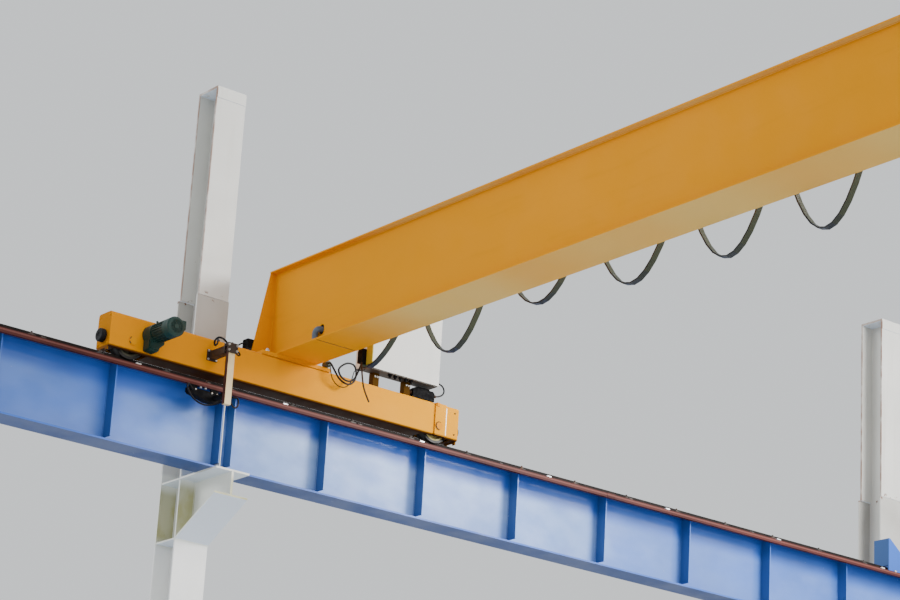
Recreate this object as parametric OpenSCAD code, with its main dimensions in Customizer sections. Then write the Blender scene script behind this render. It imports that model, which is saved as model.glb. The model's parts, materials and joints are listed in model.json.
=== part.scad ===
// Overhead travelling crane with one box girder on two runways, from the floor up.
// Millimetres. X runs along the runways, Y across the hall, Z up from the floor.
// The origin is on the floor, in the middle of the six columns.

/* [Hall] */
// Distance between the centre lines of the two crane rails
span = 16500; // [12000:100:20000]
// Distance between columns along a runway
bay = 8000; // [6000:1000:9000]
// Number of bays along each runway
bays = 2; // [1:1:2]
// Height of the seat plates of the brackets above the floor
runway_h = 7200; // [5000:100:9000]

/* [Columns] */
// Width of the lower column flanges along the runway
column_w = 305; // [240:5:340]
// Depth of the lower column section across the hall
column_d = 300; // [240:5:400]
// Thickness of the column flanges
column_flange_t = 16; // [10:1:30]
// Thickness of the column web
column_web_t = 10; // [6:1:20]
// Thickness of the plates that stiffen the columns behind the brackets
column_rib_t = 12; // [6:1:25]
// Distance from the rail centre line to the face of the columns
column_gap = 330; // [300:5:450]
// Height of the column splice above the bracket seats
splice_h = 1545; // [1200:5:1700]
// Height of the column heads above the bracket seats
column_top_h = 3385; // [2400:5:3800]
// Width of the upper column flanges along the runway
upper_column_w = 288; // [220:2:300]
// Side of the square base plates
base_plate_w = 440; // [420:10:600]
// Thickness of the base plates
base_plate_t = 30; // [15:1:50]
// Distance between the anchor bolts of a base plate
anchor_pitch = 370; // [360:5:380]
// Radius of the anchor bolt holes
anchor_r = 13; // [8:0.5:16]
// Thickness of the plates on the column heads
head_plate_t = 20; // [10:1:40]
// Distance between the roof bolts along the runway
roof_pitch_x = 200; // [100:5:220]
// Distance between the roof bolts across the hall
roof_pitch_y = 140; // [80:5:180]
// Radius of the roof bolt holes
roof_r = 11; // [6:0.5:14]

/* [Brackets] */
// Width of the bracket flanges along the runway
bracket_w = 310; // [280:5:340]
// Distance from the rail centre line to the tip of a bracket
bracket_tip = 185; // [150:5:240]
// Thickness of the bracket plates
bracket_t = 15; // [8:1:25]
// Thickness of the bracket web
bracket_web_t = 20; // [10:1:30]
// Height of the bracket at its tip
bracket_tip_h = 215; // [150:5:300]
// Height of the bracket at the column
bracket_root_h = 500; // [350:10:700]

/* [Runway girders] */
// Depth of the runway girders
runway_d = 650; // [500:10:800]
// Width of their flanges
runway_flange_w = 250; // [200:5:320]
// Thickness of their flanges
runway_flange_t = 14; // [8:1:30]
// Thickness of their webs
runway_web_t = 10; // [6:1:20]
// Distance between web stiffeners
stiffener_pitch = 1000; // [800:50:2000]
// Thickness of the web stiffeners
stiffener_t = 10; // [6:1:20]
// Set-back of a stiffener from the flange edge
stiffener_setback = 6; // [0:1:30]
// Gap below a stiffener
stiffener_foot = 45; // [20:1:90]
// Distance of the bearing stiffener from the girder end
bearing_inset = 100; // [60:5:200]
// Distance of the girder joints from the column centre lines
joint_offset = 85; // [0:5:120]
// Thickness of the packing plate in a girder joint
shim_t = 6; // [3:1:20]

/* [Rails] */
// Width of the rail foot
rail_foot_w = 150; // [100:5:180]
// Width of the rail head
rail_head_w = 55; // [45:1:70]
// Height of the rail
rail_h = 65; // [50:1:90]
// Height of the end stops above the rail foot
stop_h = 330; // [280:10:400]
// Width of the end stops across the rail
stop_w = 190; // [180:5:220]
// Distance of the end stop face from the runway end
stop_inset = 400; // [300:10:700]

/* [Conductor line] */
// Width of the conductor line casing
line_w = 32; // [20:1:60]
// Height of the conductor line casing
line_h = 38; // [30:1:90]
// Gap between the runway flange edge and the casing
line_gap = 22; // [10:1:60]
// Height of the casing top below the top of the runway girder
line_drop = 13; // [5:1:60]
// Wall of the conductor line casing
line_t = 4; // [2:0.5:8]
// Width of the slot under the casing
line_slot = 10; // [6:1:14]
// Distance between the hangers of the conductor line
hanger_pitch = 1480; // [1000:20:2000]

/* [End carriages] */
// Length of an end carriage
carriage_l = 3400; // [3200:20:4000]
// Width of an end carriage
carriage_w = 190; // [185:1:240]
// Height of an end carriage
carriage_h = 286; // [270:1:340]
// Plate thickness of an end carriage
carriage_t = 8; // [5:1:14]
// Outer radius of the folded edges of an end carriage
carriage_r = 22; // [16:1:30]
// Length of the cheek plates at the idle wheels
cheek_l = 111; // [80:1:160]
// Thickness of the cheek plates
cheek_t = 12; // [5:1:16]
// Distance from the cheek plates to the carriage end
cheek_end = 132; // [110:1:150]
// Distance between the wheel axles
wheelbase = 3000; // [2800:20:3000]
// Gap between the rail head and the underside of a carriage
carriage_clear = 37; // [25:1:60]
// Radius of the wheel tread
wheel_r = 125; // [120:1:130]
// Height of the wheel flanges above the tread
wheel_flange_h = 15; // [8:1:20]
// Width of the wheel over both flanges
wheel_w = 96; // [90:1:110]
// Radius of the wheel axles
axle_r = 30; // [20:1:40]
// Place of the crane along the runway, from the middle columns
crane_x = 544; // [-2000:1:2000]
// Length of the rubber buffers
buffer_l = 45; // [40:5:120]
// Radius of the rubber buffers
buffer_r = 54; // [30:1:75]

/* [Bridge girder] */
// Offset of the girder from the middle of the end carriages
girder_shift = 32; // [-60:1:60]
// Width of the girder flanges
flange_w = 396; // [350:2:500]
// Thickness of the girder flanges
flange_t = 12; // [8:1:25]
// Distance of the webs from the flange edges
web_inset = 52; // [46:1:80]
// Thickness of the girder webs
web_t = 6; // [5:1:12]
// Depth of the girder over both flanges
girder_d = 745; // [600:5:900]
// Reach of the girder past the rail centre line
girder_reach = 95; // [60:5:95]
// Width of the girder end plates at their foot
end_plate_w = 656; // [450:2:660]
// Distance from the rail centre line to the end of the bottom flange
flange_stop = 630; // [400:10:900]
// Thickness of the connection plates on the carriages
seat_t = 30; // [15:1:60]
// Length of the connection plates along the carriages
seat_l = 670; // [500:10:900]

/* [Travel drives] */
// Distance from the wheel axle to the drive motor axis, along the carriage
drive_x = 156; // [140:1:220]
// Radius of the motor body
motor_r = 70; // [60:1:80]
// Length of the motor body with its fan cowl
motor_l = 270; // [200:5:350]
// Number of cooling fins on a motor
fin_count = 24; // [12:2:36]

/* [Collector] */
// Distance from the middle of the carriage back to the current collector
collector_offset = 776; // [600:1:900]
// Reach of the collector bar in front of the rail centre line
bar_reach = 385; // [330:5:450]
// Width of the collector bar
bar_w = 58; // [30:1:70]
// Depth of the collector bar
bar_d = 40; // [20:1:60]
// Length of the collector bar
bar_l = 500; // [450:5:600]

/* [Cabinet] */
// Distance from the middle of the carriage to the control cabinet
cabinet_offset = 666; // [620:1:800]
// Width of the control cabinet
cabinet_l = 760; // [600:10:850]
// Depth of the control cabinet
cabinet_d = 150; // [140:5:260]
// Height of the control cabinet
cabinet_h = 760; // [500:10:1000]
// Height of the cabinet posts
cabinet_lift = 114; // [110:1:200]
// Distance between the cabinet posts
post_pitch = 324; // [250:1:330]
// Width of the cabinet posts
post_w = 60; // [40:1:80]

/* [Festoon] */
// Distance between the flange edge and the festoon track axis
track_gap = 120; // [110:5:200]
// Height of the festoon track above the foot of the girder
track_h = 590; // [400:10:700]
// Width of the flat cable
cable_w = 48; // [20:1:60]
// Thickness of the flat cable
cable_t = 11; // [5:1:14]
// Drop of a cable loop below its carriers
loop_drop = 700; // [300:10:800]
// Distance from the northern rail to the first cable carrier
first_carrier = 1192; // [1000:1:1300]
// Distance between the brackets of the track
track_pitch = 2000; // [1000:50:2500]
// Distance from the southern rail to the end of the track
track_end = 1000; // [800:50:2000]

/* [Hoist] */
// Distance from the southern rail to the middle of the hoist
hoist_inset = 1500; // [1300:10:4000]
// Distance from the foot of the girder to the hook block
hook_drop = 1500; // [900:10:5000]
// Length of the trolley plates along the girder
trolley_l = 900; // [840:10:1200]
// Height of the trolley plates
trolley_h = 400; // [380:5:500]

/* [Hidden] */

// Gap between faces that seat on each other but move, or are separate turned parts
seat_gap = 0.3;
// Overlap of shapes that are joined into one solid
e = 1;

runway_top = runway_h + runway_d;
rail_top = runway_top + rail_h;
axle_z = rail_top + wheel_r + seat_gap;
carriage_z = rail_top + carriage_clear;
carriage_top = carriage_z + carriage_h;
girder_z = carriage_top + seat_t;
girder_top = girder_z + girder_d;
girder_x = crane_x + girder_shift;
half_run = bays * bay / 2;
web_face = flange_w / 2 - web_inset;
wheel_x = wheelbase / 2;
carriage_half = carriage_l / 2;
carriage_half_w = carriage_w / 2;
upper_column_d = column_d - 20;
carriage_bend = 4;

blue = [0.16, 0.42, 0.85];
orange = [0.98, 0.55, 0.02];
cream = [0.90, 0.89, 0.84];
steel = [0.30, 0.28, 0.27];
teal = [0.10, 0.27, 0.30];
yellow = [0.95, 0.78, 0.10];
black = [0.08, 0.08, 0.09];
maroon = [0.55, 0.18, 0.16];

// Puts a shape on the northern (1) or southern (-1) runway.
// There y = 0 is the rail centre line and +y points out of the hall.
module on_side(s)
    scale_y(s) translate([0, span / 2, 0]) children();

module scale_y(s)
    if (s > 0) children();
    else mirror([0, 1, 0]) children();

// Draws a profile, given across (y) and up (z), and extends it along x from x0.
module along_x(x0, length)
    translate([x0, 0, 0]) rotate([90, 0, 90]) linear_extrude(length) children();

// Draws a profile, given along x and up (z), and extends it along y from y0.
module along_y(y0, length)
    translate([0, y0 + length, 0]) rotate([90, 0, 0]) linear_extrude(length) children();

// An I section, with its middle at the origin
module i_section(w, d, flange, web) {
    translate([-w / 2, -d / 2]) square([w, flange]);
    translate([-w / 2, d / 2 - flange]) square([w, flange]);
    translate([-web / 2, -d / 2 + flange - e]) square([web, d - 2 * flange + 2 * e]);
}

// Repeats a piece at each column of one side
module at_columns(s)
    on_side(s) for (i = [0 : bays]) translate([i * bay - half_run, 0, 0]) children();

module at_all_columns() {
    at_columns(1) children();
    at_columns(-1) children();
}

// Plates between the column flanges, on both sides of the web
module column_rib(z) {
    width = (column_w - column_web_t) / 2 - 4 + e;
    depth = column_d - 2 * column_flange_t + 2 * e;
    for (side = [-1, 1])
        translate([side > 0 ? column_web_t / 2 - e : -column_w / 2 + 4, -depth / 2, z])
            cube([width, depth, column_rib_t]);
}

module lower_columns(s)
    color(cream) at_columns(s)
        translate([0, column_gap + column_d / 2, 0]) {
            translate([0, 0, base_plate_t])
                linear_extrude(runway_h + splice_h - base_plate_t)
                    i_section(column_w, column_d, column_flange_t, column_web_t);
            column_rib(runway_h - column_rib_t);
            column_rib(runway_h - bracket_root_h);
        }

module upper_columns()
    color(cream) at_all_columns()
        translate([0, column_gap + upper_column_d / 2, runway_h + splice_h])
            linear_extrude(column_top_h - splice_h - head_plate_t)
                i_section(upper_column_w, upper_column_d, column_flange_t, column_web_t);

// A square or oblong plate with four bolt holes, its middle at the origin
module bolted_plate(w, d, t, hole_x, hole_y, hole_r)
    difference() {
        translate([-w / 2, -d / 2, 0]) cube([w, d, t]);
        for (x = [-hole_x / 2, hole_x / 2]) for (y = [-hole_y / 2, hole_y / 2])
            translate([x, y, -e]) cylinder(r = hole_r, h = t + 2 * e, $fn = 32);
    }

module base_plates()
    color(cream) at_all_columns()
        translate([0, column_gap + column_d / 2, 0])
            bolted_plate(base_plate_w, base_plate_w, base_plate_t, anchor_pitch, anchor_pitch, anchor_r);

module head_plates()
    color(cream) at_all_columns()
        translate([0, column_gap + upper_column_d / 2, runway_h + column_top_h - head_plate_t])
            bolted_plate(upper_column_w, upper_column_d, head_plate_t, roof_pitch_x, roof_pitch_y, roof_r);

// A bracket: seat plate, web and sloping lower flange in one welding
module brackets(s)
    color(cream) at_columns(s) translate([0, 0, runway_h]) {
        along_x(-bracket_w / 2, bracket_w)
            polygon([[-bracket_tip, 0], [column_gap, 0], [column_gap, -bracket_t],
                [-bracket_tip, -bracket_t]]);
        along_x(-bracket_web_t / 2, bracket_web_t)
            polygon([[-bracket_tip + e, -bracket_t + e], [column_gap, -bracket_t + e],
                [column_gap, -bracket_root_h + e], [-bracket_tip + e, -bracket_tip_h + e]]);
        along_x(-bracket_w / 2, bracket_w)
            polygon([[-bracket_tip, -bracket_tip_h], [column_gap, -bracket_root_h],
                [column_gap, -bracket_root_h + bracket_t], [-bracket_tip, -bracket_tip_h + bracket_t]]);
    }

// One stiffener of a runway girder, on both sides of the web
module runway_stiffener(x) {
    edge = runway_flange_w / 2 - stiffener_setback;
    for (side = [-1, 1])
        translate([x - stiffener_t / 2, side > 0 ? runway_web_t / 2 - e : -edge, stiffener_foot])
            cube([stiffener_t, edge - runway_web_t / 2 + e,
                runway_d - runway_flange_t - stiffener_foot + e]);
}

// One runway girder, one bay long
module runway_girder() {
    length = bay - shim_t;
    along_x(0, length) translate([0, runway_d / 2])
        i_section(runway_flange_w, runway_d, runway_flange_t, runway_web_t);
    runway_stiffener(bearing_inset);
    for (x = [stiffener_pitch : stiffener_pitch : bay - stiffener_pitch / 2])
        runway_stiffener(x);
    runway_stiffener(length - stiffener_t / 2);
}

module runway_girders(s)
    color(blue) on_side(s) for (i = [0 : bays - 1])
        translate([i * bay - half_run - joint_offset, 0, runway_h]) runway_girder();

// White packing plates between the girder ends
module joint_shims()
    color("white") for (s = [1, -1]) on_side(s) for (i = [1 : bays])
        if (i < bays)
            translate([i * bay - half_run - joint_offset - shim_t, -runway_flange_w / 2, runway_h])
                cube([shim_t, runway_flange_w, runway_d]);

// Crane rail with foot, web and head
module rail(s)
    color(steel) on_side(s) translate([0, 0, runway_top])
        along_x(-half_run - joint_offset, bays * bay - shim_t)
            polygon([[-rail_foot_w / 2, 0], [rail_foot_w / 2, 0], [rail_foot_w / 2, 10],
                [rail_head_w / 2 - 12, rail_h * 0.42], [rail_head_w / 2 - 12, rail_h * 0.55],
                [rail_head_w / 2, rail_h * 0.66], [rail_head_w / 2, rail_h - 4],
                [rail_head_w / 2 - 4, rail_h], [-rail_head_w / 2 + 4, rail_h],
                [-rail_head_w / 2, rail_h - 4], [-rail_head_w / 2, rail_h * 0.66],
                [-rail_head_w / 2 + 12, rail_h * 0.55], [-rail_head_w / 2 + 12, rail_h * 0.42],
                [-rail_foot_w / 2, 10]]);

module end_stops()
    color(blue) for (s = [1, -1]) on_side(s) for (d = [-1, 1])
        translate([-joint_offset + (d > 0 ? half_run - shim_t : -half_run), 0, runway_top])
            scale_x(d) end_stop();

module scale_x(d)
    if (d > 0) children();
    else mirror([1, 0, 0]) children();

// An end stop stands over the rail foot at a runway end, with its face towards -x
module end_stop() {
    face = rail_top - runway_top;
    translate([-stop_inset, -stop_w / 2, face]) cube([20, stop_w, stop_h - face]);
    for (y = [-stop_w / 2, stop_w / 2 - 12])
        along_strip(y);
}

// One side plate of an end stop
module along_strip(y)
    translate([0, y, 0]) along_y(0, 12)
        polygon([[-stop_inset, 0], [-60, 0], [-60, 80], [-stop_inset + 19, stop_h],
            [-stop_inset, stop_h]]);

line_y = -runway_flange_w / 2 - line_gap;
line_z = runway_top - line_drop;
hanger_x0 = -half_run - joint_offset + 400;

// The casing of the conductor line, open below along its slot
module conductor_line()
    color(maroon) on_side(1)
        along_x(-half_run - joint_offset, bays * bay - shim_t)
            translate([line_y - line_w, line_z - line_h]) difference() {
                square([line_w, line_h]);
                translate([line_t, line_t]) square([line_w - 2 * line_t, line_h - 2 * line_t]);
                translate([(line_w - line_slot) / 2, -e]) square([line_slot, line_t + 2 * e]);
            }

module conductor_hangers()
    color("silver") on_side(1)
        for (x = [hanger_x0 : hanger_pitch : half_run - joint_offset - 200])
            along_x(x - 15, 30)
                polygon([[line_y - line_w + 4, line_z], [line_y - 6, line_z], [line_y - 6, runway_top],
                    [-runway_flange_w / 2 + 25, runway_top], [-runway_flange_w / 2 + 25, runway_top + 4],
                    [line_y - 10, runway_top + 4], [line_y - 10, line_z + 10],
                    [line_y - line_w + 4, line_z + 10]]);

hole_y = 628;
hole_z = flange_t + 83;

girder_end_t = 10;
web_end = girder_reach - girder_end_t;
top_lip = 5;

module girder_webs()
    color(orange) difference() {
        for (x = [girder_x - web_face, girder_x + web_face - web_t])
            translate([x, -span / 2 - web_end, girder_z + flange_t])
                cube([web_t, span + 2 * web_end, girder_d - 2 * flange_t]);
        on_side(1) translate([girder_x - web_face - e, -hole_y, girder_z + hole_z])
            along_x(0, web_t + 2 * e) {
                translate([-30, -12]) square([60, 24]);
                for (z = [-12, 12]) translate([0, z]) circle(r = 30, $fn = 32);
            }
    }

module girder_top_flange()
    color(orange)
        translate([girder_x - flange_w / 2, -span / 2 - girder_reach - top_lip, girder_top - flange_t])
            cube([flange_w, span + 2 * girder_reach + 2 * top_lip, flange_t]);

module girder_bottom_flange()
    color(orange) {
        translate([girder_x - flange_w / 2, -span / 2 + flange_stop, girder_z])
            cube([flange_w, span - 2 * flange_stop, flange_t]);
        for (s = [1, -1]) on_side(s)
            translate([girder_x - flange_w / 2, -flange_stop + 4, girder_z])
                cube([flange_w, flange_stop - 4 + web_end, flange_t]);
    }

// An end plate spreads from the width of the top flange to a wide foot on the connection plate
module girder_end_plates()
    color(orange) for (s = [1, -1]) on_side(s)
        translate([girder_x, 0, 0]) along_y(web_end, girder_end_t)
            polygon([[-end_plate_w / 2, girder_z], [end_plate_w / 2, girder_z],
                [flange_w / 2, girder_top - flange_t], [-flange_w / 2, girder_top - flange_t]]);

module connection_plates()
    color(orange) for (s = [1, -1]) on_side(s)
        translate([girder_x - seat_l / 2, -carriage_half_w, carriage_top])
            cube([seat_l, carriage_w, seat_t]);

// Outline of a folded box: across (y) and up (z), centred on its foot
function box_outline(w, h, r) =
    [for (c = [[1, 1, 0], [-1, 1, 90], [-1, -1, 180], [1, -1, 270]]) for (k = [0 : carriage_bend])
        [c[0] * (w / 2 - r) + r * cos(c[2] + 90 * k / carriage_bend),
            h / 2 + c[1] * (h / 2 - r) + r * sin(c[2] + 90 * k / carriage_bend)]];

// A folded box section with open wheel pockets below and bored cheek plates at the idle wheel
module end_carriage(s)
    color(orange) on_side(s) translate([crane_x, 0, carriage_z]) difference() {
        union() {
            along_x(-carriage_half, carriage_l) polygon(box_outline(carriage_w, carriage_h, carriage_r));
            for (y = [-1, 1])
                translate([carriage_half - cheek_end - cheek_l, 0, 4])
                    translate([0, y * carriage_half_w - (y > 0 ? e : cheek_t), 0])
                        cube([cheek_l, cheek_t + e, carriage_h - 8]);
        }
        translate([0, 0, carriage_t]) along_x(-carriage_half - e, carriage_l + 2 * e)
            polygon(box_outline(carriage_w - 2 * carriage_t, carriage_h - 2 * carriage_t,
                carriage_r - carriage_t));
        for (d = [-1, 1]) {
            translate([d * wheel_x - wheel_r - 25, -carriage_half_w + carriage_r, -e])
                cube([2 * wheel_r + 50, carriage_w - 2 * carriage_r, carriage_t + 2 * e]);
            translate([d * wheel_x, carriage_half_w + cheek_t + e, axle_z - carriage_z]) rotate([90, 0, 0])
                cylinder(r = axle_r, h = carriage_w + 2 * cheek_t + 2 * e, $fn = 48);
        }
    }

end_plate_t = 10;
sweeper = 24;

// Plates that close the carriage ends, each with a rail sweeper below
module carriage_end_plates()
    color(orange) for (s = [1, -1]) on_side(s) for (d = [-1, 1])
        translate([crane_x + d * (carriage_half + end_plate_t / 2) - end_plate_t / 2, 0, carriage_z])
            along_x(0, end_plate_t) difference() {
                union() {
                    polygon(box_outline(carriage_w, carriage_h, carriage_r));
                    translate([-carriage_half_w + carriage_r, -sweeper])
                        square([carriage_w - 2 * carriage_r, sweeper + e]);
                }
                translate([-rail_head_w / 2 - 12, -sweeper - e]) square([rail_head_w + 24, 16 + e]);
            }

buffer_z = carriage_z + 98;
buffer_edge = 10;

// A rubber buffer: a disc with a rounded edge and a shallow dish in its face
module buffers()
    color(black) for (s = [1, -1]) on_side(s) for (d = [-1, 1])
        translate([crane_x + d * (carriage_half + end_plate_t), 0, buffer_z]) rotate([0, 90 * d, 0])
            rotate_extrude($fn = 64)
                polygon(concat([[0, 0], [buffer_r - 4, 0], [buffer_r, 6]],
                    [for (a = [0 : 22.5 : 90])
                        [buffer_r - buffer_edge * (1 - cos(a)), buffer_l - buffer_edge * (1 - sin(a))]],
                    [[buffer_r / 3, buffer_l], [buffer_r / 4, buffer_l - 5], [0, buffer_l - 5]]));

// An axle lies in the bores of the carriage, with a thin head on both faces
module wheel_axles()
    color(orange) for (s = [1, -1]) on_side(s) for (d = [-1, 1])
        translate([crane_x + d * wheel_x, 0, axle_z]) rotate([90, 0, 0]) {
            cheek = d > 0 ? cheek_t : 0;
            cylinder(r = axle_r - seat_gap, h = carriage_w + 2 * cheek + 2, center = true, $fn = 48);
            for (y = [-1, 1]) translate([0, 0, y * (carriage_half_w + cheek + 4)])
                cylinder(r = axle_r + 4, h = 8, center = true, $fn = 48);
        }

// A double-flanged travel wheel
module wheel(s, d)
    color(yellow) on_side(s) translate([crane_x + d * wheel_x, 0, axle_z]) rotate([90, 0, 0])
        rotate_extrude($fn = 96)
            polygon([[axle_r, -wheel_w / 2 - 10], [axle_r + 28, -wheel_w / 2 - 10],
                [axle_r + 28, -14], [wheel_r - 24, -14], [wheel_r - 24, -wheel_w / 2],
                [wheel_r + wheel_flange_h - 4, -wheel_w / 2], [wheel_r + wheel_flange_h, -wheel_w / 2 + 5],
                [wheel_r, -wheel_w / 2 + 14], [wheel_r, wheel_w / 2 - 14],
                [wheel_r + wheel_flange_h, wheel_w / 2 - 5], [wheel_r + wheel_flange_h - 4, wheel_w / 2],
                [wheel_r - 24, wheel_w / 2], [wheel_r - 24, 14], [axle_r + 28, 14],
                [axle_r + 28, wheel_w / 2 + 10], [axle_r, wheel_w / 2 + 10]]);

drive_z = axle_z + 74;
gear_depth = 100;
motor_flange = 12;
cowl_l = 95;

// A cast reducer: its lower part is wider than the round seat of the motor
module gearboxes()
    color(teal) for (s = [1, -1]) on_side(s)
        translate([crane_x - wheel_x + drive_x, -carriage_half_w, drive_z]) rotate([90, 0, 0]) {
            linear_extrude(gear_depth - 15)
                polygon([[-62, -126], [-52, -138], [16, -144], [28, -134], [38, -104], [motor_r + 6, -70],
                    [motor_r + 6, 10], [-62, 10]]);
            linear_extrude(gear_depth)
                polygon([[-55, -116], [-47, -126], [12, -132], [21, -124], [29, -98], [60, -60],
                    [60, 0], [-55, 0]]);
            cylinder(r = motor_r + 10, h = gear_depth, $fn = 64);
        }

// A flanged motor with cooling fins, a fan cowl, two lifting lugs and a terminal box
module drive_motors()
    color(teal) for (s = [1, -1]) on_side(s)
        translate([crane_x - wheel_x + drive_x, -carriage_half_w - gear_depth, drive_z]) rotate([90, 0, 0]) {
            cylinder(r = motor_r + 10, h = motor_flange, $fn = 64);
            cylinder(r = motor_r, h = motor_l - cowl_l + e, $fn = 64);
            for (i = [0 : fin_count - 1]) rotate([0, 0, i * 360 / fin_count])
                translate([motor_r - e, -1.5, motor_flange + 8])
                    cube([9 + e, 3, motor_l - cowl_l - motor_flange - 16]);
            translate([0, 0, motor_l - cowl_l]) rotate_extrude($fn = 64)
                polygon([[0, 0], [motor_r + 10, 0], [motor_r + 10, cowl_l - 14], [motor_r, cowl_l - 3],
                    [motor_r - 16, cowl_l], [motor_r - 16, cowl_l - 6], [20, cowl_l - 6], [20, cowl_l],
                    [0, cowl_l]]);
            for (lug = [[113, 24], [80, motor_l - cowl_l - 6]]) rotate([0, 0, lug[0]])
                translate([motor_r - e, -7, lug[1]]) cube([24 + e, 14, 12]);
            translate([motor_r - 20, -5, motor_l - 100]) cube([45, 72, 78]);
        }

collector_x = crane_x - collector_offset;
collector_z = rail_top + 180;
bar_top = collector_z + 44;
bar_back = -bar_reach + bar_d;
arm_w = 60;
strap_t = 12;
head_w = 60;
shoe_h = 31;
head_z = line_z - line_h - seat_gap - shoe_h;
head_y = line_y - line_w / 2;

// The arm has a foot on the carriage and grips the bar between two plates and two bolts
module collector_arm()
    color([0.24, 0.17, 0.14]) on_side(1) translate([collector_x, 0, collector_z]) {
        difference() {
            translate([-47, -carriage_half_w - 10, -44]) cube([94, 10, 88]);
            for (x = [-37, 37]) for (z = [-34, 34])
                translate([x, -carriage_half_w + e, z]) rotate([90, 0, 0]) cylinder(r = 5, h = 12, $fn = 24);
        }
        translate([-arm_w / 2, bar_back + strap_t - e, -arm_w / 2])
            cube([arm_w, -carriage_half_w - 10 - bar_back - strap_t + 2 * e, arm_w]);
        for (y = [bar_back, -bar_reach - strap_t])
            translate([-bar_w / 2 - 16, y, -40]) cube([bar_w + 32, strap_t, 80]);
        for (x = [-1, 1]) for (z = [-22, 22])
            translate([x * (bar_w / 2 + 8), bar_back + e, z]) rotate([90, 0, 0])
                cylinder(r = 5, h = bar_d + 2 * e, $fn = 24);
    }

module collector_bar()
    color(cream) on_side(1)
        translate([collector_x - bar_w / 2, -bar_reach, bar_top - bar_l]) cube([bar_w, bar_d, bar_l]);

// The collector runs under the slot of the line on two shoes and is towed by the bar
module collector_head()
    color(black) on_side(1) translate([collector_x, 0, head_z]) {
        translate([0, head_y - head_w / 2, 0]) along_y(0, head_w)
            polygon([[-240, 0], [60, 0], [60, -52], [38, -80], [-74, -84], [-154, -62], [-226, -46],
                [-240, -30]]);
        for (x = [-224, -26])
            translate([x, head_y - 10, -e]) cube([70, 20, shoe_h + e]);
        translate([-23, bar_back, -58]) cube([46, head_y - head_w / 2 - bar_back + e, 26]);
    }

function unit(v) = v / norm(v);
function sideways(u, t) = unit(u - (u * t) * t);

// Directions along a curve: first and last are given, so that its ends are square to the faces they meet
function tangents(c, first, last) =
    concat([first], [for (i = [1 : len(c) - 2]) unit(c[i + 1] - c[i - 1])], [last]);

// Directions across a curve, turned as little as possible from each point to the next
function sides(t, u, i = 0) =
    i >= len(t) ? [] : let (s = sideways(u, t[i])) concat([s], sides(t, s, i + 1));

// A smooth curve through the points of a route
function between(p, i, t) =
    let (a = p[max(i - 1, 0)], b = p[i], c = p[i + 1], d = p[min(i + 2, len(p) - 1)])
        0.5 * (2 * b + (c - a) * t + (2 * a - 5 * b + 4 * c - d) * t * t
            + (3 * b - a - 3 * c + d) * t * t * t);
function smooth(p, steps) =
    concat([for (i = [0 : len(p) - 2]) for (k = [0 : steps - 1]) between(p, i, k / steps)], [p[len(p) - 1]]);

north = [0, 1, 0];
east = [1, 0, 0];
upward = [0, 0, 1];

// A round lead along a route, from its first to its last direction
module lead(route, r, from, to, steps = 3, n = 10) {
    c = smooth(route, steps);
    t = tangents(c, from, to);
    s = sides(t, [0.31, 0.42, 0.85]);
    last = len(c) - 1;
    polyhedron(
        points = [for (i = [0 : last]) for (k = [0 : n - 1])
            c[i] + r * (cos(360 * k / n) * s[i] + sin(360 * k / n) * cross(t[i], s[i]))],
        faces = concat([[for (k = [0 : n - 1]) k]], [[for (k = [n - 1 : -1 : 0]) last * n + k]],
            [for (i = [0 : last - 1]) for (k = [0 : n - 1])
                [i * n + k, (i + 1) * n + k, (i + 1) * n + (k + 1) % n, i * n + (k + 1) % n]]));
}

// Routes are given from the middle of the northern carriage's top
module at_carriage_top()
    on_side(1) translate([crane_x, 0, carriage_top]) children();

lead_r = 8;
thin_lead_r = 4;

// A bent hose from the hole in the web down to the bottom flange
module cable_elbow()
    color([0.45, 0.50, 0.55]) on_side(1)
        translate([girder_x - web_face, -hole_y, girder_z + flange_t])
            lead([[web_t + 10, 3, 83], [-6, 3, 83], [-26, 12, 81], [-33, 32, 68], [-30, 46, 42],
                [-26, 49, 18], [-26, 49, 0]], 24, -east, -upward, 3, 12);

// A small box on the back of the end plate, half past its edge
module junction_box()
    color(black) on_side(1) along_x(crane_x - 329, 110) translate([girder_reach + seat_gap, carriage_top])
        polygon([[0, 87], [70, 87], [75, 92], [75, 157], [70, 162], [0, 162]]);

gland_r = 27;
gland_x = seat_l / 2 + girder_shift - 37;

// A rubber gland on the end of the connection plate, where the leads come out
module lead_gland()
    color([0.30, 0.33, 0.30]) at_carriage_top()
        translate([gland_x, -60, seat_t + gland_r + seat_gap]) rotate([90, 0, 0]) {
            cylinder(r = gland_r, h = 60, $fn = 48);
            cylinder(r = gland_r - 6, h = 70, $fn = 48);
        }

// A thick lead turns one and a half times on its way to the clamp. A thin one goes to the cabinet.
module saddle_leads()
    color(black) at_carriage_top() {
        lead([[318, -130, 57], [318, -148, 57], [326, -166, 40], [352, -172, 0], [400, -175, -58],
            [450, -176, -85], [500, -176, -88], [545, -177, -60], [566, -178, -5], [560, -180, 50],
            [530, -184, 84], [470, -188, 82], [415, -192, 50], [378, -196, 5], [395, -200, -42],
            [440, -203, -70], [492, -205, -70], [530, -210, -40], [545, -225, 5], [540, -260, 42],
            [495, -350, 62], [420, -470, 38], [370, -532, 20], [366, -550, 20]], lead_r, -north, -north);
        lead([[330, -130, 40], [331, -139, 34], [338, -145, -15], [358, -145, -68], [398, -145, -104],
            [448, -145, -117], [500, -146, -102], [540, -147, -55], [556, -147, 0], [580, -140, 55],
            [640, -130, 72], [688, -120, 92], [692, -120, cabinet_lift]], thin_lead_r, -north, upward, 3, 8);
    }

module cabinet_lead()
    color(black) at_carriage_top()
        lead([[cabinet_offset + cabinet_l, -60, 175], [1448, -60, 180], [1500, -60, 182], [1545, -60, 168],
            [1566, -60, 135], [1556, -60, 100], [1523, -60, 75], [1480, -60, 62], [1446, -60, 60]],
            lead_r - 1, east, -east);

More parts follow.
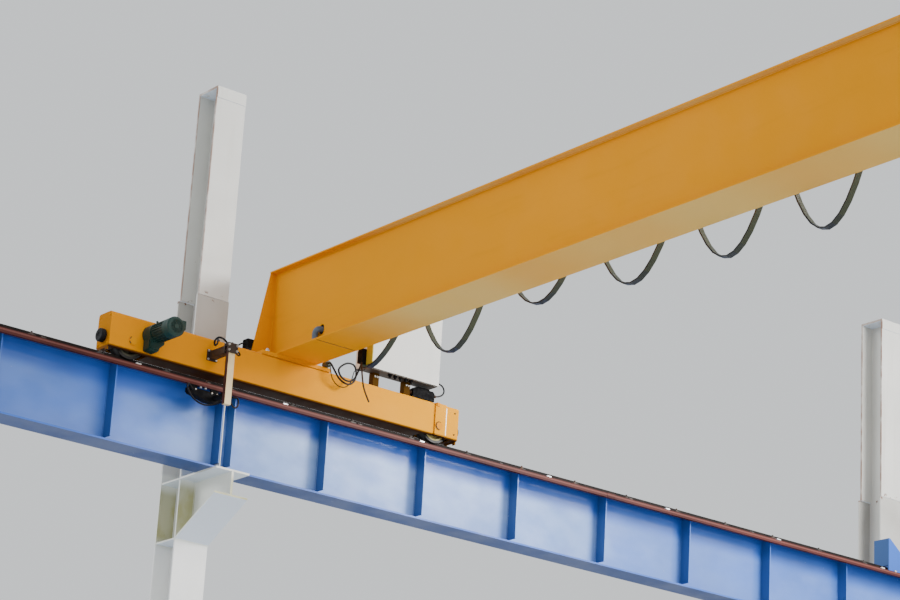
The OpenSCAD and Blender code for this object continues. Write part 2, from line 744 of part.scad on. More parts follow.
// Leads of the collector: one loop on each side of the bar, and two that go over the carriage
module collector_leads()
    color(black) at_carriage_top() {
        lead([[-994, head_y - head_w / 2, -492], [-996, -208, -490], [-1015, -215, -472],
            [-1040, -216, -458], [-1050, -216, -480], [-1034, -216, -512], [-1005, -216, -548],
            [-965, -216, -575], [-920, -216, -590], [-875, -216, -594],
            [-832, -220, -586], [-800, -245, -578],
            [-790, -290, -573], [-788, -328, -570], [-788, bar_back, -570]], lead_r - 1, -north, -north);
        lead([[-716, head_y, -498], [-698, head_y, -498], [-664, -182, -484], [-625, -215, -474],
            [-598, -240, -482], [-592, -252, -512], [-608, -272, -548], [-642, -300, -580],
            [-684, -330, -592], [-720, -355, -583], [-735, -364, -573], [-747, -365, -570]],
            lead_r - 1, east, -east);
        lead([[-747, -365, -145], [-718, -365, -146], [-672, -340, -160], [-642, -262, -140],
            [-622, -175, -66], [-606, -122, -4], [-590, -85, 13], [-572, -45, 9], [-545, 10, 8.3],
            [-490, 60, 12], [-440, 100, 42], [-395, 126, 92], [-356, 133, 120], [-329, 134, 124]],
            lead_r - 1, east, east);
        lead([[-800, -336, -103], [-800, -336, -90], [-822, -318, -62], [-850, -290, -50], [-864, -262, -74],
            [-848, -240, -102], [-822, -228, -86], [-806, -212, -50], [-780, -165, -10],
            [-735, -95, 16], [-700, -45, 30], [-664, 0, 34], [-642, 18, 20], [-640, 20, 0.3]],
            lead_r, upward, -upward);
    }

// A lead that hangs loose from the festoon clamp, with a bare end
module loose_lead()
    color([0.20, 0.14, 0.10]) at_carriage_top()
        lead([[312, -605, -38], [312, -606, -60], [312, -612, -100], [312, -622, -150], [316, -630, -200],
            [328, -632, -250], [352, -632, -300], [390, -632, -360]],
            7, -upward, unit([38, 0, -60]), 3, 8);

cabinet_x = crane_x + cabinet_offset;
cabinet_y = -170;

// A sheet metal cabinet: its door stands proud of the body, on the side of the hall
module control_cabinet()
    color(cream) on_side(1)
        translate([cabinet_x, cabinet_y, carriage_top + cabinet_lift]) {
            translate([0, 18, 0]) cube([cabinet_l, cabinet_d - 18, cabinet_h]);
            translate([8, 14, 8]) cube([cabinet_l - 16, 4 + e, cabinet_h - 16]);
            translate([2, 0, 2]) cube([cabinet_l - 4, 14 + e, cabinet_h - 4]);
            for (z = [90, cabinet_h - 150])
                translate([cabinet_l - 4 - e, 9, z]) cylinder(r = 6, h = 60, $fn = 24);
        }

module cabinet_posts()
    color(orange) on_side(1) for (i = [0 : 1])
        translate([cabinet_x + 150 + i * post_pitch, -post_w / 2 - 42, carriage_top])
            cube([post_w, post_w, cabinet_lift]);

hood_x = crane_x + 1222;

// A plug connector in its hood, on the near edge of the carriage
module connector_box()
    color(black) on_side(1) translate([hood_x, 0, carriage_top]) {
        along_y(-carriage_half_w + 4, 70)
            polygon([[0, 0], [224, 0], [224, 70], [208, 86], [22, 86], [6, 66], [0, 66]]);
        along_y(-carriage_half_w + 12, 54)
            polygon([[40, 86 - e], [180, 86 - e], [170, 100], [52, 100]]);
    }

track_x = girder_x + flange_w / 2 + track_gap;
track_z = girder_z + track_h;
track_y0 = -span / 2 + track_end;
track_y1 = span / 2 - 200;

module festoon_track()
    color("silver") translate([track_x, 0, track_z])
        along_y(track_y0, track_y1 - track_y0) difference() {
            translate([-20, -20]) square([40, 40]);
            translate([-17, -17]) square([34, 34]);
            translate([-6, -21]) square([12, 6]);
        }

module festoon_brackets()
    color(orange) for (y = [track_y0 + 100 : track_pitch : track_y1])
        translate([0, y, track_z + 20]) along_y(0, 40)
            polygon([[girder_x + web_face, 0], [track_x + 20, 0], [track_x + 20, 8],
                [girder_x + web_face + 8, 8], [girder_x + web_face + 8, 80], [girder_x + web_face, 80]]);

hoist_y = -span / 2 + hoist_inset;
frame_foot = 260;
anchor_y = -695;
anchor_z = carriage_top - 54;

// The first cable end is held under this plate, which hangs from the track
module festoon_anchor()
    color(orange) on_side(1) translate([track_x, anchor_y, 0]) {
        translate([-4, 0, anchor_z]) cube([8, 79, track_z - 20 - anchor_z]);
        translate([-20, 0, track_z - 28]) cube([40, 79, 8]);
    }

roller_r = 11;

// Spacing of the cable carriers from the northern end, and how much each loop hangs lower than the others
spacing = [1060, 1030, 1010, 950, 900, 1000, 1010, 990, 1000, 1020, 980, 1000, 1000];
sag = [30, -115, -20, 25, 60, -40, 10, -30, 20, -10, 30, -60, 0];
tail_room = 400;
tow_w = 50;
tow_y = hoist_y + trolley_l / 2 - tow_w / 2;
function sum_to(i) = i < 0 ? 0 : spacing[i] + sum_to(i - 1);
function carrier_y(i) = span / 2 - first_carrier - sum_to(i - 1);
carriers = len([for (i = [1 : len(spacing)]) if (carrier_y(i) > tow_y + tail_room) i]);

// Each carrier rolls in the track and clamps the cable. One more clamp sits on the anchor plate.
module festoon_carriers()
    color(black) {
        for (i = [0 : carriers])
            translate([track_x, carrier_y(i), track_z]) {
                translate([-15, 0, roller_r - 17 + seat_gap]) rotate([0, 90, 0])
                    cylinder(r = roller_r, h = 30, $fn = 32);
                translate([-4.5, -8, -60]) cube([9, 16, 60]);
                translate([-31, -30, -72]) cube([62, 60, 20 + e]);
            }
        on_side(1) translate([track_x, anchor_y + 79, anchor_z + 16])
            along_x(-45, 90) polygon([[0, 0], [66, 0], [66, 96], [52, 120], [12, 120], [0, 108]]);
    }

loop_steps = 14;
loop_top = track_z - 72;
cable_grip = 14;

// A loop is a parabola. The other face lies off it, square to the curve.
function loop_point(i, t, off) =
    let (w = (carrier_y(i) - carrier_y(i + 1)) / 2 - cable_grip, drop = loop_drop + sag[i], u = 2 * t - 1,
        d = unit([w, 2 * drop * u]))
        [(carrier_y(i) + carrier_y(i + 1)) / 2 - u * w - off * d[1],
            loop_top - drop * (1 - u * u) - off * d[0]];

// Each end of the cable hangs from a carrier into a clamp: a curve with four control points
tail_steps = 18;
function bend(p, t) =
    pow(1 - t, 3) * p[0] + 3 * pow(1 - t, 2) * t * p[1] + 3 * (1 - t) * t * t * p[2] + pow(t, 3) * p[3];
function turn(p, t) =
    unit(pow(1 - t, 2) * (p[1] - p[0]) + 2 * (1 - t) * t * (p[2] - p[1]) + t * t * (p[3] - p[2]));
function tail_point(p, t, off) = let (d = turn(p, t)) bend(p, t) + off * [d[1], -d[0]];

clamp_y = span / 2 + anchor_y + 79 + 33;
clamp_z = anchor_z + 16;
tow_z = girder_z + trolley_h - frame_foot - 90;

tail_north = [[carrier_y(0) + cable_grip, loop_top], [carrier_y(0) + 90, loop_top - 540],
    [clamp_y, clamp_z - 130], [clamp_y, clamp_z]];
tail_south = [[carrier_y(carriers) - cable_grip, loop_top], [carrier_y(carriers) - 60, loop_top - 700],
    [tow_y, tow_z - 300], [tow_y, tow_z]];

// One face of the cable, from its northern clamp to the arm of the trolley
function cable_face(off) = concat(
    [for (k = [tail_steps : -1 : 0]) tail_point(tail_north, k / tail_steps, off)],
    [for (i = [0 : carriers - 1]) for (k = [0 : loop_steps]) loop_point(i, k / loop_steps, off)],
    [for (k = [0 : tail_steps]) tail_point(tail_south, k / tail_steps, -off)]);

// The flat cable is one outline between its two faces
module festoon_cable()
    color(black) along_x(track_x - cable_w / 2, cable_w) {
        far_face = cable_face(cable_t);
        polygon(concat(cable_face(0), [for (k = [len(far_face) - 1 : -1 : 0]) far_face[k]]));
    }

trolley_wheel_r = 60;
trolley_wheel_x = web_face + 26;
frame_x = flange_w / 2 + 30;

trolley_axle_z = girder_z + flange_t + trolley_wheel_r + seat_gap;

module trolley_wheels()
    color(steel) for (x = [-1, 1]) for (y = [-350, 350])
        translate([girder_x + x * trolley_wheel_x, hoist_y + y, trolley_axle_z])
            rotate([0, 90 * x, 0]) translate([0, 0, -14]) {
                cylinder(r = trolley_wheel_r, h = 28, $fn = 64);
                cylinder(r = 15, h = frame_x - trolley_wheel_x + 14 - seat_gap, $fn = 32);
            }

bearing_y = 350;
bearing_t = 20;
drum_r = 120;
drum_half = bearing_y - 10;
groove_pitch = 26;
drum_z = girder_z - 60 - drum_r;
shaft_r = 30;
sheave_r = 140;
rope_r = 6;
block_z = girder_z - hook_drop;

// Side plates on the wheels, the two hanging bearing plates of the drum, and the arm that tows the cable
module trolley_frames()
    color(orange) difference() {
        union() {
            for (x = [-1, 1])
                translate([girder_x + x * (frame_x + 6) - 6, hoist_y - trolley_l / 2, girder_z - frame_foot])
                    cube([12, trolley_l, trolley_h]);
            translate([girder_x + frame_x + 12 - e, tow_y - tow_w / 2, tow_z])
                cube([track_x + 30 - girder_x - frame_x - 12 + e, tow_w, 40]);
            for (y = [-bearing_y - bearing_t, bearing_y])
                translate([girder_x - frame_x - e, hoist_y + y, drum_z - drum_r])
                    cube([2 * frame_x + 2 * e, bearing_t, 2 * drum_r + 30]);
            translate([girder_x - sheave_r - rope_r - 20, hoist_y - bearing_y - e, girder_z - 60])
                cube([40, 2 * bearing_y + 2 * e, 30]);
        }
        translate([girder_x, hoist_y - bearing_y - bearing_t - e, drum_z]) rotate([-90, 0, 0])
            cylinder(r = shaft_r + seat_gap, h = 2 * (bearing_y + bearing_t + e), $fn = 48);
        for (x = [-1, 1]) for (y = [-350, 350])
            translate([girder_x + x * frame_x, hoist_y + y, trolley_axle_z])
                rotate([0, 90, 0]) cylinder(r = 15 + seat_gap, h = 40, center = true, $fn = 32);
    }

module hoist_drum()
    color(orange) translate([girder_x, hoist_y, drum_z]) rotate([-90, 0, 0]) {
        rotate_extrude($fn = 96) polygon(concat([[0, -drum_half], [drum_r + 12, -drum_half]],
            [[drum_r + 12, -drum_half + 12], [drum_r, -drum_half + 12]],
            [for (z = [-drum_half + 24 : groove_pitch : drum_half - 40]) for (k = [0, 1, 2])
                [drum_r - (k == 1 ? 4 : 0), z + k * groove_pitch / 3]],
            [[drum_r, drum_half - 12], [drum_r + 12, drum_half - 12], [drum_r + 12, drum_half],
                [0, drum_half]]));
        cylinder(r = shaft_r, h = 2 * (bearing_y + bearing_t), center = true, $fn = 48);
    }

module hoist_motor()
    color(teal) translate([girder_x, hoist_y + bearing_y + bearing_t, drum_z]) rotate([-90, 0, 0])
        cylinder(r = 110, h = 300, $fn = 64);

module hoist_gearbox()
    color(teal) translate([girder_x - 130, hoist_y - bearing_y - bearing_t - 160, drum_z - 130])
        cube([260, 160, 260]);

rope_lean = atan((sheave_r - drum_r) / (drum_z - block_z));

module hoist_ropes()
    color(steel) translate([girder_x, hoist_y, block_z]) {
        translate([sheave_r + rope_r, 0, 0]) rotate([0, -rope_lean, 0])
            cylinder(r = rope_r, h = (drum_z - block_z) / cos(rope_lean), $fn = 24);
        translate([-sheave_r - rope_r, 0, 0])
            cylinder(r = rope_r, h = girder_z - 60 - block_z, $fn = 24);
    }

module hook_block()
    color(yellow) translate([girder_x, hoist_y, block_z]) {
        rotate([90, 0, 0]) cylinder(r = sheave_r, h = 40, center = true, $fn = 96);
        for (y = [-30, 20])
            translate([-90, y, -230]) cube([180, 10, 260]);
        translate([-40, -31, -230]) cube([80, 62, 60]);
        translate([0, 0, -290]) cylinder(r = 22, h = 70, $fn = 32);
        translate([0, 0, -360]) rotate([90, 0, 0]) rotate([0, 0, -190]) rotate_extrude(angle = 280, $fn = 64)
            translate([62, 0]) circle(r = 20, $fn = 32);
    }

lower_columns(1);  // columns_north
lower_columns(-1);  // columns_south
upper_columns();
base_plates();
head_plates();
brackets(1);  // brackets_north
brackets(-1);  // brackets_south
runway_girders(1);  // runway_girders_north
runway_girders(-1);  // runway_girders_south
joint_shims();
rail(1);  // rail_north
rail(-1);  // rail_south
end_stops();
conductor_line();
conductor_hangers();
girder_webs();
girder_top_flange();
girder_bottom_flange();
girder_end_plates();
connection_plates();
end_carriage(1);  // end_carriage_north
end_carriage(-1);  // end_carriage_south
carriage_end_plates();
buffers();
wheel_axles();
wheel(1, -1);  // wheel_north_west
wheel(1, 1);  // wheel_north_east
wheel(-1, -1);  // wheel_south_west
wheel(-1, 1);  // wheel_south_east
gearboxes();
drive_motors();
collector_arm();
collector_bar();
collector_head();
collector_leads();
cable_elbow();
junction_box();
lead_gland();
saddle_leads();
control_cabinet();
cabinet_posts();
connector_box();
cabinet_lead();
loose_lead();
festoon_track();
festoon_brackets();
festoon_anchor();
festoon_carriers();
festoon_cable();
trolley_frames();
trolley_wheels();
hoist_drum();
hoist_motor();
hoist_gearbox();
hoist_ropes();
hook_block();
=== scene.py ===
"""The looks of an overhead travelling crane on its runways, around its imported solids.

Metres, in the part's frame: X along the runways, Y across the hall, Z up from the floor.
"""

import json
import math
import random
from itertools import product

import bpy
from mathutils import Matrix, Vector


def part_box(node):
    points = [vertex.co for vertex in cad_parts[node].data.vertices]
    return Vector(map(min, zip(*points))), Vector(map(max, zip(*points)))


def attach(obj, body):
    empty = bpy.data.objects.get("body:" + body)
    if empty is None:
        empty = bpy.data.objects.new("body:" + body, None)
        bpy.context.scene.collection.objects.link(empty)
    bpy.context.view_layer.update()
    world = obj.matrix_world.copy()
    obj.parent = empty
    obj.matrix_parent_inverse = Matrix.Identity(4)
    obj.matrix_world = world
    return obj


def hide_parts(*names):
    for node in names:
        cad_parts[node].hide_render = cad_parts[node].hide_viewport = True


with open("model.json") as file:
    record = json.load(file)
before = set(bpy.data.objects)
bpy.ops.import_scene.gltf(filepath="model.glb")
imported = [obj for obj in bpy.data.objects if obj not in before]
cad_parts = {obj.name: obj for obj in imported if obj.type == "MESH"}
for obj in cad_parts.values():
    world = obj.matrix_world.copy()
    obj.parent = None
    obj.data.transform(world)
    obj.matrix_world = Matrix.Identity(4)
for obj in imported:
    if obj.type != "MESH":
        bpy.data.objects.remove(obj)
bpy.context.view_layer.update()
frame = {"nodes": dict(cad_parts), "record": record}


def low(node):
    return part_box(node)[0]


def high(node):
    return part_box(node)[1]


def middle(node):
    return (low(node) + high(node)) / 2


def new_object(name, data):
    made = bpy.data.objects.new(name, data)
    bpy.context.scene.collection.objects.link(made)
    return made


# Places and sizes that many pieces share. The bare ones are those of the part's source.
SIDES = (1, -1)
UP, SOUTH = (0, 0, 1), (0, -1, 0)
BAY = 8.0
COLUMN_PLACES = (-BAY, 0, BAY)
COLUMN_FACE = low("columns_north").y
COLUMN_BACK = high("columns_north").y
COLUMN_HALF_W = 0.1525
SPLICE_Z = high("columns_north").z

RAIL_Y = middle("rail_north").y
RAIL_TOP = high("rail_north").z
RUNWAY_TOP = high("runway_girders_north").z
RUNWAY_FOOT = low("runway_girders_north").z
RUNWAY_START = low("runway_girders_north").x
RUNWAY_END = high("runway_girders_north").x
RUNWAY_WEB_HALF_T = 0.005
RUNWAY_FLANGE_T = 0.014
STIFFENER_PITCH = 1.0
STIFFENER_GAP = 0.045
STIFFENER_REACH = 0.108
STIFFENER_HALF_T = 0.005
SEAT_FOOT = RUNWAY_FOOT - 0.015
SHIM_X = -0.085
HANGER_PITCH = 1.48
FIRST_CLIP_X = -6.45
CLIP_PITCH = 1.38

CRANE_X = middle("end_carriage_north").x
CARRIAGE_FOOT = low("end_carriage_north").z
CARRIAGE_TOP = high("end_carriage_north").z
CARRIAGE_HALF_W = 0.095
CARRIAGE_HALF_L = 1.7
WHEELBASE = 3.0
AXLE_Z = middle("wheel_north_west").z
DRIVE_FACE = RAIL_Y - CARRIAGE_HALF_W - 0.1

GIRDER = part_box("girder_webs")
GIRDER_X = middle("girder_webs").x
GIRDER_FOOT = low("girder_bottom_flange").z
GIRDER_TOP = high("girder_top_flange").z
FLANGE_T = GIRDER_TOP - low("girder_top_flange").z
WEB_NEAR = low("girder_webs").x
WEB_FAR = high("girder_webs").x
WEB_END = RAIL_Y + 0.085
TRACK_X = middle("festoon_track").x
FIRST_CARRIER_IN = 1.192
CARRIER_SPACING = (1.06, 1.03, 1.01, 0.95, 0.90, 1.0, 1.01, 0.99, 1.0, 1.02, 0.98, 1.0, 1.0)


# Camera

CAMERA_PLACE = Vector((-10.988, -9.042, 1.640))
CAMERA_YAW = math.radians(-37.2507)
CAMERA_PITCH = math.radians(19.2172)
CAMERA_ROLL = math.radians(3.4352)
CAMERA_LENS = 107.58
CAMERA_SENSOR = 36


def add_camera():
    """The photo's camera, at the place and angle fitted to its lines."""
    ahead = Vector((-math.sin(CAMERA_YAW) * math.cos(CAMERA_PITCH),
                    math.cos(CAMERA_YAW) * math.cos(CAMERA_PITCH), math.sin(CAMERA_PITCH)))
    level = Vector((math.cos(CAMERA_YAW), math.sin(CAMERA_YAW), 0))
    rise = level.cross(ahead)
    right = math.cos(CAMERA_ROLL) * level + math.sin(CAMERA_ROLL) * rise
    up = -math.sin(CAMERA_ROLL) * level + math.cos(CAMERA_ROLL) * rise
    data = bpy.data.cameras.new("camera")
    data.lens = CAMERA_LENS
    data.sensor_width = CAMERA_SENSOR
    data.clip_end = 500
    camera = new_object("camera", data)
    axes = Matrix((right, up, -ahead)).transposed()
    camera.matrix_world = Matrix.Translation(CAMERA_PLACE) @ axes.to_4x4()
    bpy.context.scene.camera = camera


# Materials

# Sockets of the Mix node that hold colours
MIX_FIRST, MIX_SECOND, MIX_RESULT = 6, 7, 2

RUST = (0.16, 0.06, 0.025)
DUST = (0.5, 0.46, 0.40)


class Surface:
    """A procedural material, put together from a few kinds of node."""

    def __init__(self, name, roughness=0.5, metallic=0.0, coat=0.0, specular=0.5):
        self.name = name
        self.material = bpy.data.materials.new(name)
        self.material.use_nodes = True
        self.tree = self.material.node_tree
        self.shader = self.tree.nodes["Principled BSDF"]
        constants = {"Roughness": roughness, "Metallic": metallic, "Coat Weight": coat,
                     "Coat Roughness": 0.15, "Specular IOR Level": specular}
        for socket, value in constants.items():
            self.shader.inputs[socket].default_value = value
        self.place = self.node("ShaderNodeTexCoord").outputs["Object"]

    def node(self, kind, **inputs):
        made = self.tree.nodes.new(kind)
        for name, value in inputs.items():
            self.feed(made.inputs[name.replace("_", " ")], value)
        return made

    def feed(self, socket, value):
        """Links an output to the socket, or sets a number or a colour on it."""
        if isinstance(value, bpy.types.NodeSocket):
            self.tree.links.new(value, socket)
        elif isinstance(value, (tuple, list)) and len(value) == 3 and socket.type == "RGBA":
            socket.default_value = (*value, 1)
        else:
            socket.default_value = value

    def stretched(self, scale):
        mapping = self.node("ShaderNodeMapping", Vector=self.place)
        mapping.inputs["Scale"].default_value = scale
        return mapping.outputs["Vector"]

    def noise(self, scale, detail, stretch=None, shift=0.0):
        place = self.stretched(stretch) if stretch else self.place
        made = self.node("ShaderNodeTexNoise", Vector=place, Scale=scale, Detail=detail)
        if shift:
            made.noise_dimensions = "4D"
            made.inputs["W"].default_value = shift
        return made.outputs["Fac"]

    def span(self, value, start, end, to_start=0.0, to_end=1.0):
        """A smooth step from to_start to to_end, while the value goes from start to end."""
        made = self.node("ShaderNodeMapRange", Value=value, From_Min=start, From_Max=end,
                         To_Min=to_start, To_Max=to_end)
        made.interpolation_type = "SMOOTHSTEP"
        return made.outputs["Result"]

    def patches(self, scale, detail, start=0.3, end=0.7, least=0.0, most=1.0, stretch=None, shift=0.0):
        """Noise whose values from start to end become least to most."""
        return self.span(self.noise(scale, detail, stretch, shift), start, end, least, most)

    def band(self, value, rise, fall):
        """1 between two soft edges. Each is a pair: where it is 0, then where it is 1."""
        return self.both(self.span(value, *rise), self.span(value, *fall))

    def math(self, operation, *values, clamp=True):
        made = self.node("ShaderNodeMath")
        made.operation = operation
        made.use_clamp = clamp and operation in ("ADD", "SUBTRACT", "MULTIPLY")
        for socket, value in zip(made.inputs, values):
            self.feed(socket, value)
        return made.outputs["Value"]

    def both(self, first, second):
        return self.math("MULTIPLY", first, second)

    def offset(self, value, origin):
        return self.math("SUBTRACT", value, origin, clamp=False)

    def mix(self, share, first, second):
        made = self.node("ShaderNodeMix")
        made.data_type = "RGBA"
        self.feed(made.inputs["Factor"], share)
        self.feed(made.inputs[MIX_FIRST], first)
        self.feed(made.inputs[MIX_SECOND], second)
        return made.outputs[MIX_RESULT]

    def axis(self, name):
        return self.node("ShaderNodeSeparateXYZ", Vector=self.place).outputs[name]

    def near_column(self):
        """Distance from the middle of the nearest column, negative towards the west."""
        return self.math("WRAP", self.axis("X"), BAY / 2, -BAY / 2)

    def facing(self, name, normal="Normal"):
        """How far a face looks along an axis, from -1 to 1."""
        geometry = self.node("ShaderNodeNewGeometry")
        return self.node("ShaderNodeSeparateXYZ", Vector=geometry.outputs[normal]).outputs[name]

    def above(self, most=1.0):
        """most on faces that look up, 0 on the others."""
        return self.span(self.facing("Z"), 0.6, 0.95, 0, most)

    def below(self, start, end):
        """1 on faces that look down, 0 on the others."""
        return self.span(self.facing("Z"), start, end)

    def bump(self, height, distance, strength):
        """Adds a bump to those already there."""
        made = self.node("ShaderNodeBump", Height=height, Distance=distance, Strength=strength)
        previous = self.shader.inputs["Normal"].links
        if previous:
            self.feed(made.inputs["Normal"], previous[0].from_socket)
        self.feed(self.shader.inputs["Normal"], made.outputs["Normal"])

    def finish(self, colour, roughness=None):
        """Feeds the shader. Returns the name and the material, as a row of MATERIALS."""
        self.feed(self.shader.inputs["Base Color"], colour)
        if roughness is not None:
            self.feed(self.shader.inputs["Roughness"], roughness)
        return self.name, self.material


def shade(colour, factor):
    return tuple(min(1.0, c * factor) for c in colour)


def paint(name, colour, gloss=0.35, dust=0.25, dust_colour=DUST, rust=0.0, cloud=0.8, coat=0.25):
    """Sprayed paint on steel: uneven tone, orange peel, dust on top, rust in places."""
    s = Surface(name, roughness=gloss, coat=coat, specular=0.3)
    body = s.mix(s.patches(cloud, 4, shift=1.3), shade(colour, 0.92), shade(colour, 1.06))
    grime = s.patches(5, 8, 0.52, 0.78, most=0.35, stretch=(1, 1, 0.35), shift=4.1)
    body = s.mix(grime, body, shade(dust_colour, 0.75))
    settled = s.both(s.above(dust), s.patches(9, 6, 0.25, 0.6, 0.5, 1.4))
    body = s.mix(settled, body, dust_colour)
    matt = s.math("ADD", s.patches(14, 5, 0.3, 0.75, gloss * 0.8, gloss * 1.3), settled)
    if rust:
        spots = s.patches(23, 9, 0.70 - 0.05 * rust, 0.74 - 0.05 * rust, shift=7.7)
        body = s.mix(s.both(spots, rust), body, RUST)
    s.bump(s.noise(220, 2), 0.0006, 0.05)
    s.bump(s.noise(2.2, 2), 0.004, 0.12)
    return s.finish(body, matt)


def blue_paint():
    """Glossy blue paint. A painted reflection makes the webs pale and cloudy near the crane, and the band
    under the top flange stays darker as painted shadow; the stiffeners keep the full colour, and faces to the
    west and the undersides are darker, painted shade."""
    colour = (0.024, 0.125, 0.55)
    s = Surface("blue_paint", roughness=0.28, coat=0.1, specular=0.3)
    body = s.mix(s.patches(0.9, 3, shift=2.0), shade(colour, 0.85), shade(colour, 1.15))
    # Painted reflection: the webs turn pale blue near the crane, but not in the band under the top flange,
    # which stays darker as painted shadow.
    web = s.band(s.axis("Z"), (RUNWAY_TOP - 0.13, RUNWAY_TOP - 0.24),
                 (RUNWAY_FOOT + 0.012, RUNWAY_FOOT + 0.022))
    reflection_clouds = s.patches(2.6, 5, 0.30, 0.66, 0.55, 1.0, (1, 1, 1.6), 5.0)
    away = s.offset(s.axis("X"), CRANE_X + 1.3)
    reflection_near_crane = s.span(s.math("ABSOLUTE", away), 3.4, 0.5, 0.22, 0.85)
    body = s.mix(s.both(s.both(web, reflection_clouds), reflection_near_crane), body, (0.35, 0.55, 0.95))
    # Painted shade: faces that look west are made darker.
    side = s.span(s.facing("X"), -0.5, -0.9)
    body = s.mix(s.both(side, 0.9), body, (0.028, 0.10, 0.30))
    # Painted shade: faces that look down are made dark navy.
    body = s.mix(s.both(s.below(-0.5, -0.9), 0.75), body, (0.008, 0.035, 0.13))
    upward = s.above(0.6)
    body = s.mix(upward, body, (0.10, 0.10, 0.11))
    scuffs = s.patches(31, 9, 0.7, 0.76, most=0.5, stretch=(1, 1, 2), shift=9.0)
    body = s.mix(scuffs, body, (0.45, 0.54, 0.72))
    s.bump(s.noise(220, 2), 0.0006, 0.05)
    s.bump(s.noise(1.7, 2), 0.006, 0.15)
    return s.finish(body, s.math("ADD", s.patches(3.1, 5, least=0.34, most=0.5), upward))


def orange_paint(name, colour, painted_carriage_light=False):
    """Orange crane paint with long faint streaks, and a pale painted reflection on the girder's underside.
    One with painted carriage light is near black below, over the rail, and darker on faces to the west, both
    painted shade, and paler towards the east, a painted sheen."""
    s = Surface(name, roughness=0.45, specular=0.015)
    tone = s.patches(0.6, 4, stretch=(1, 0.4, 1), shift=3.0)
    body = s.mix(tone, shade(colour, 0.94), shade(colour, 1.05))
    if painted_carriage_light:
        # Painted sheen: the carriage paint turns paler towards the east.
        east_sheen = s.span(s.axis("X"), CRANE_X - 1.2, CRANE_X + 1.4)
        body = s.mix(east_sheen, body, s.mix(tone, (0.8, 0.335, 0.0008), (0.86, 0.365, 0.0010)))
    streak = s.patches(6, 6, 0.55, 0.8, most=0.12, stretch=(1, 0.25, 2.2), shift=6.0)
    body = s.mix(streak, body, (0.42, 0.15, 0.01))
    settled = s.both(s.above(0.3), s.patches(9, 6, 0.25, 0.6, 0.5, 1.4))
    body = s.mix(settled, body, DUST)
    if painted_carriage_light:
        # Painted shade: faces that look west are made darker.
        west = s.span(s.facing("X"), -0.6, -0.95, 0, 0.5)
        body = s.mix(west, body, (0.30, 0.10, 0.0005))
        # Painted shade: the carriage's underside, over the rail, is made near black, and its lower edge
        # darker.
        height = s.axis("Z")
        under = s.both(s.below(-0.3, -0.8), s.span(height, CARRIAGE_FOOT + 0.05, CARRIAGE_FOOT + 0.01))
        body = s.mix(under, body, (0.016, 0.01, 0.008))
        edge = s.span(height, CARRIAGE_FOOT + 0.022, CARRIAGE_FOOT + 0.008, 0, 0.75)
        body = s.mix(edge, body, (0.10, 0.035, 0.012))
    else:
        # Painted reflection: the girder's underside, away from its ends, is made pale.
        pale = s.both(s.below(-0.6, -0.95), s.patches(0.5, 2, 0.35, 0.6, 0.5, 0.95, (0, 1, 0), 0.4))
        across = s.math("ABSOLUTE", s.axis("Y"))
        pale = s.both(pale, s.span(across, RAIL_Y - 0.7, RAIL_Y - 1.9))
        body = s.mix(pale, body, (0.92 * colour[0], 1.64 * colour[1], 0.19 * colour[0]))
    s.bump(s.noise(220, 2), 0.0006, 0.06)
    s.bump(s.noise(1.3, 2), 0.008, 0.12)
    return s.finish(body, s.math("ADD", s.patches(4, 5, least=0.34, most=0.5), settled))


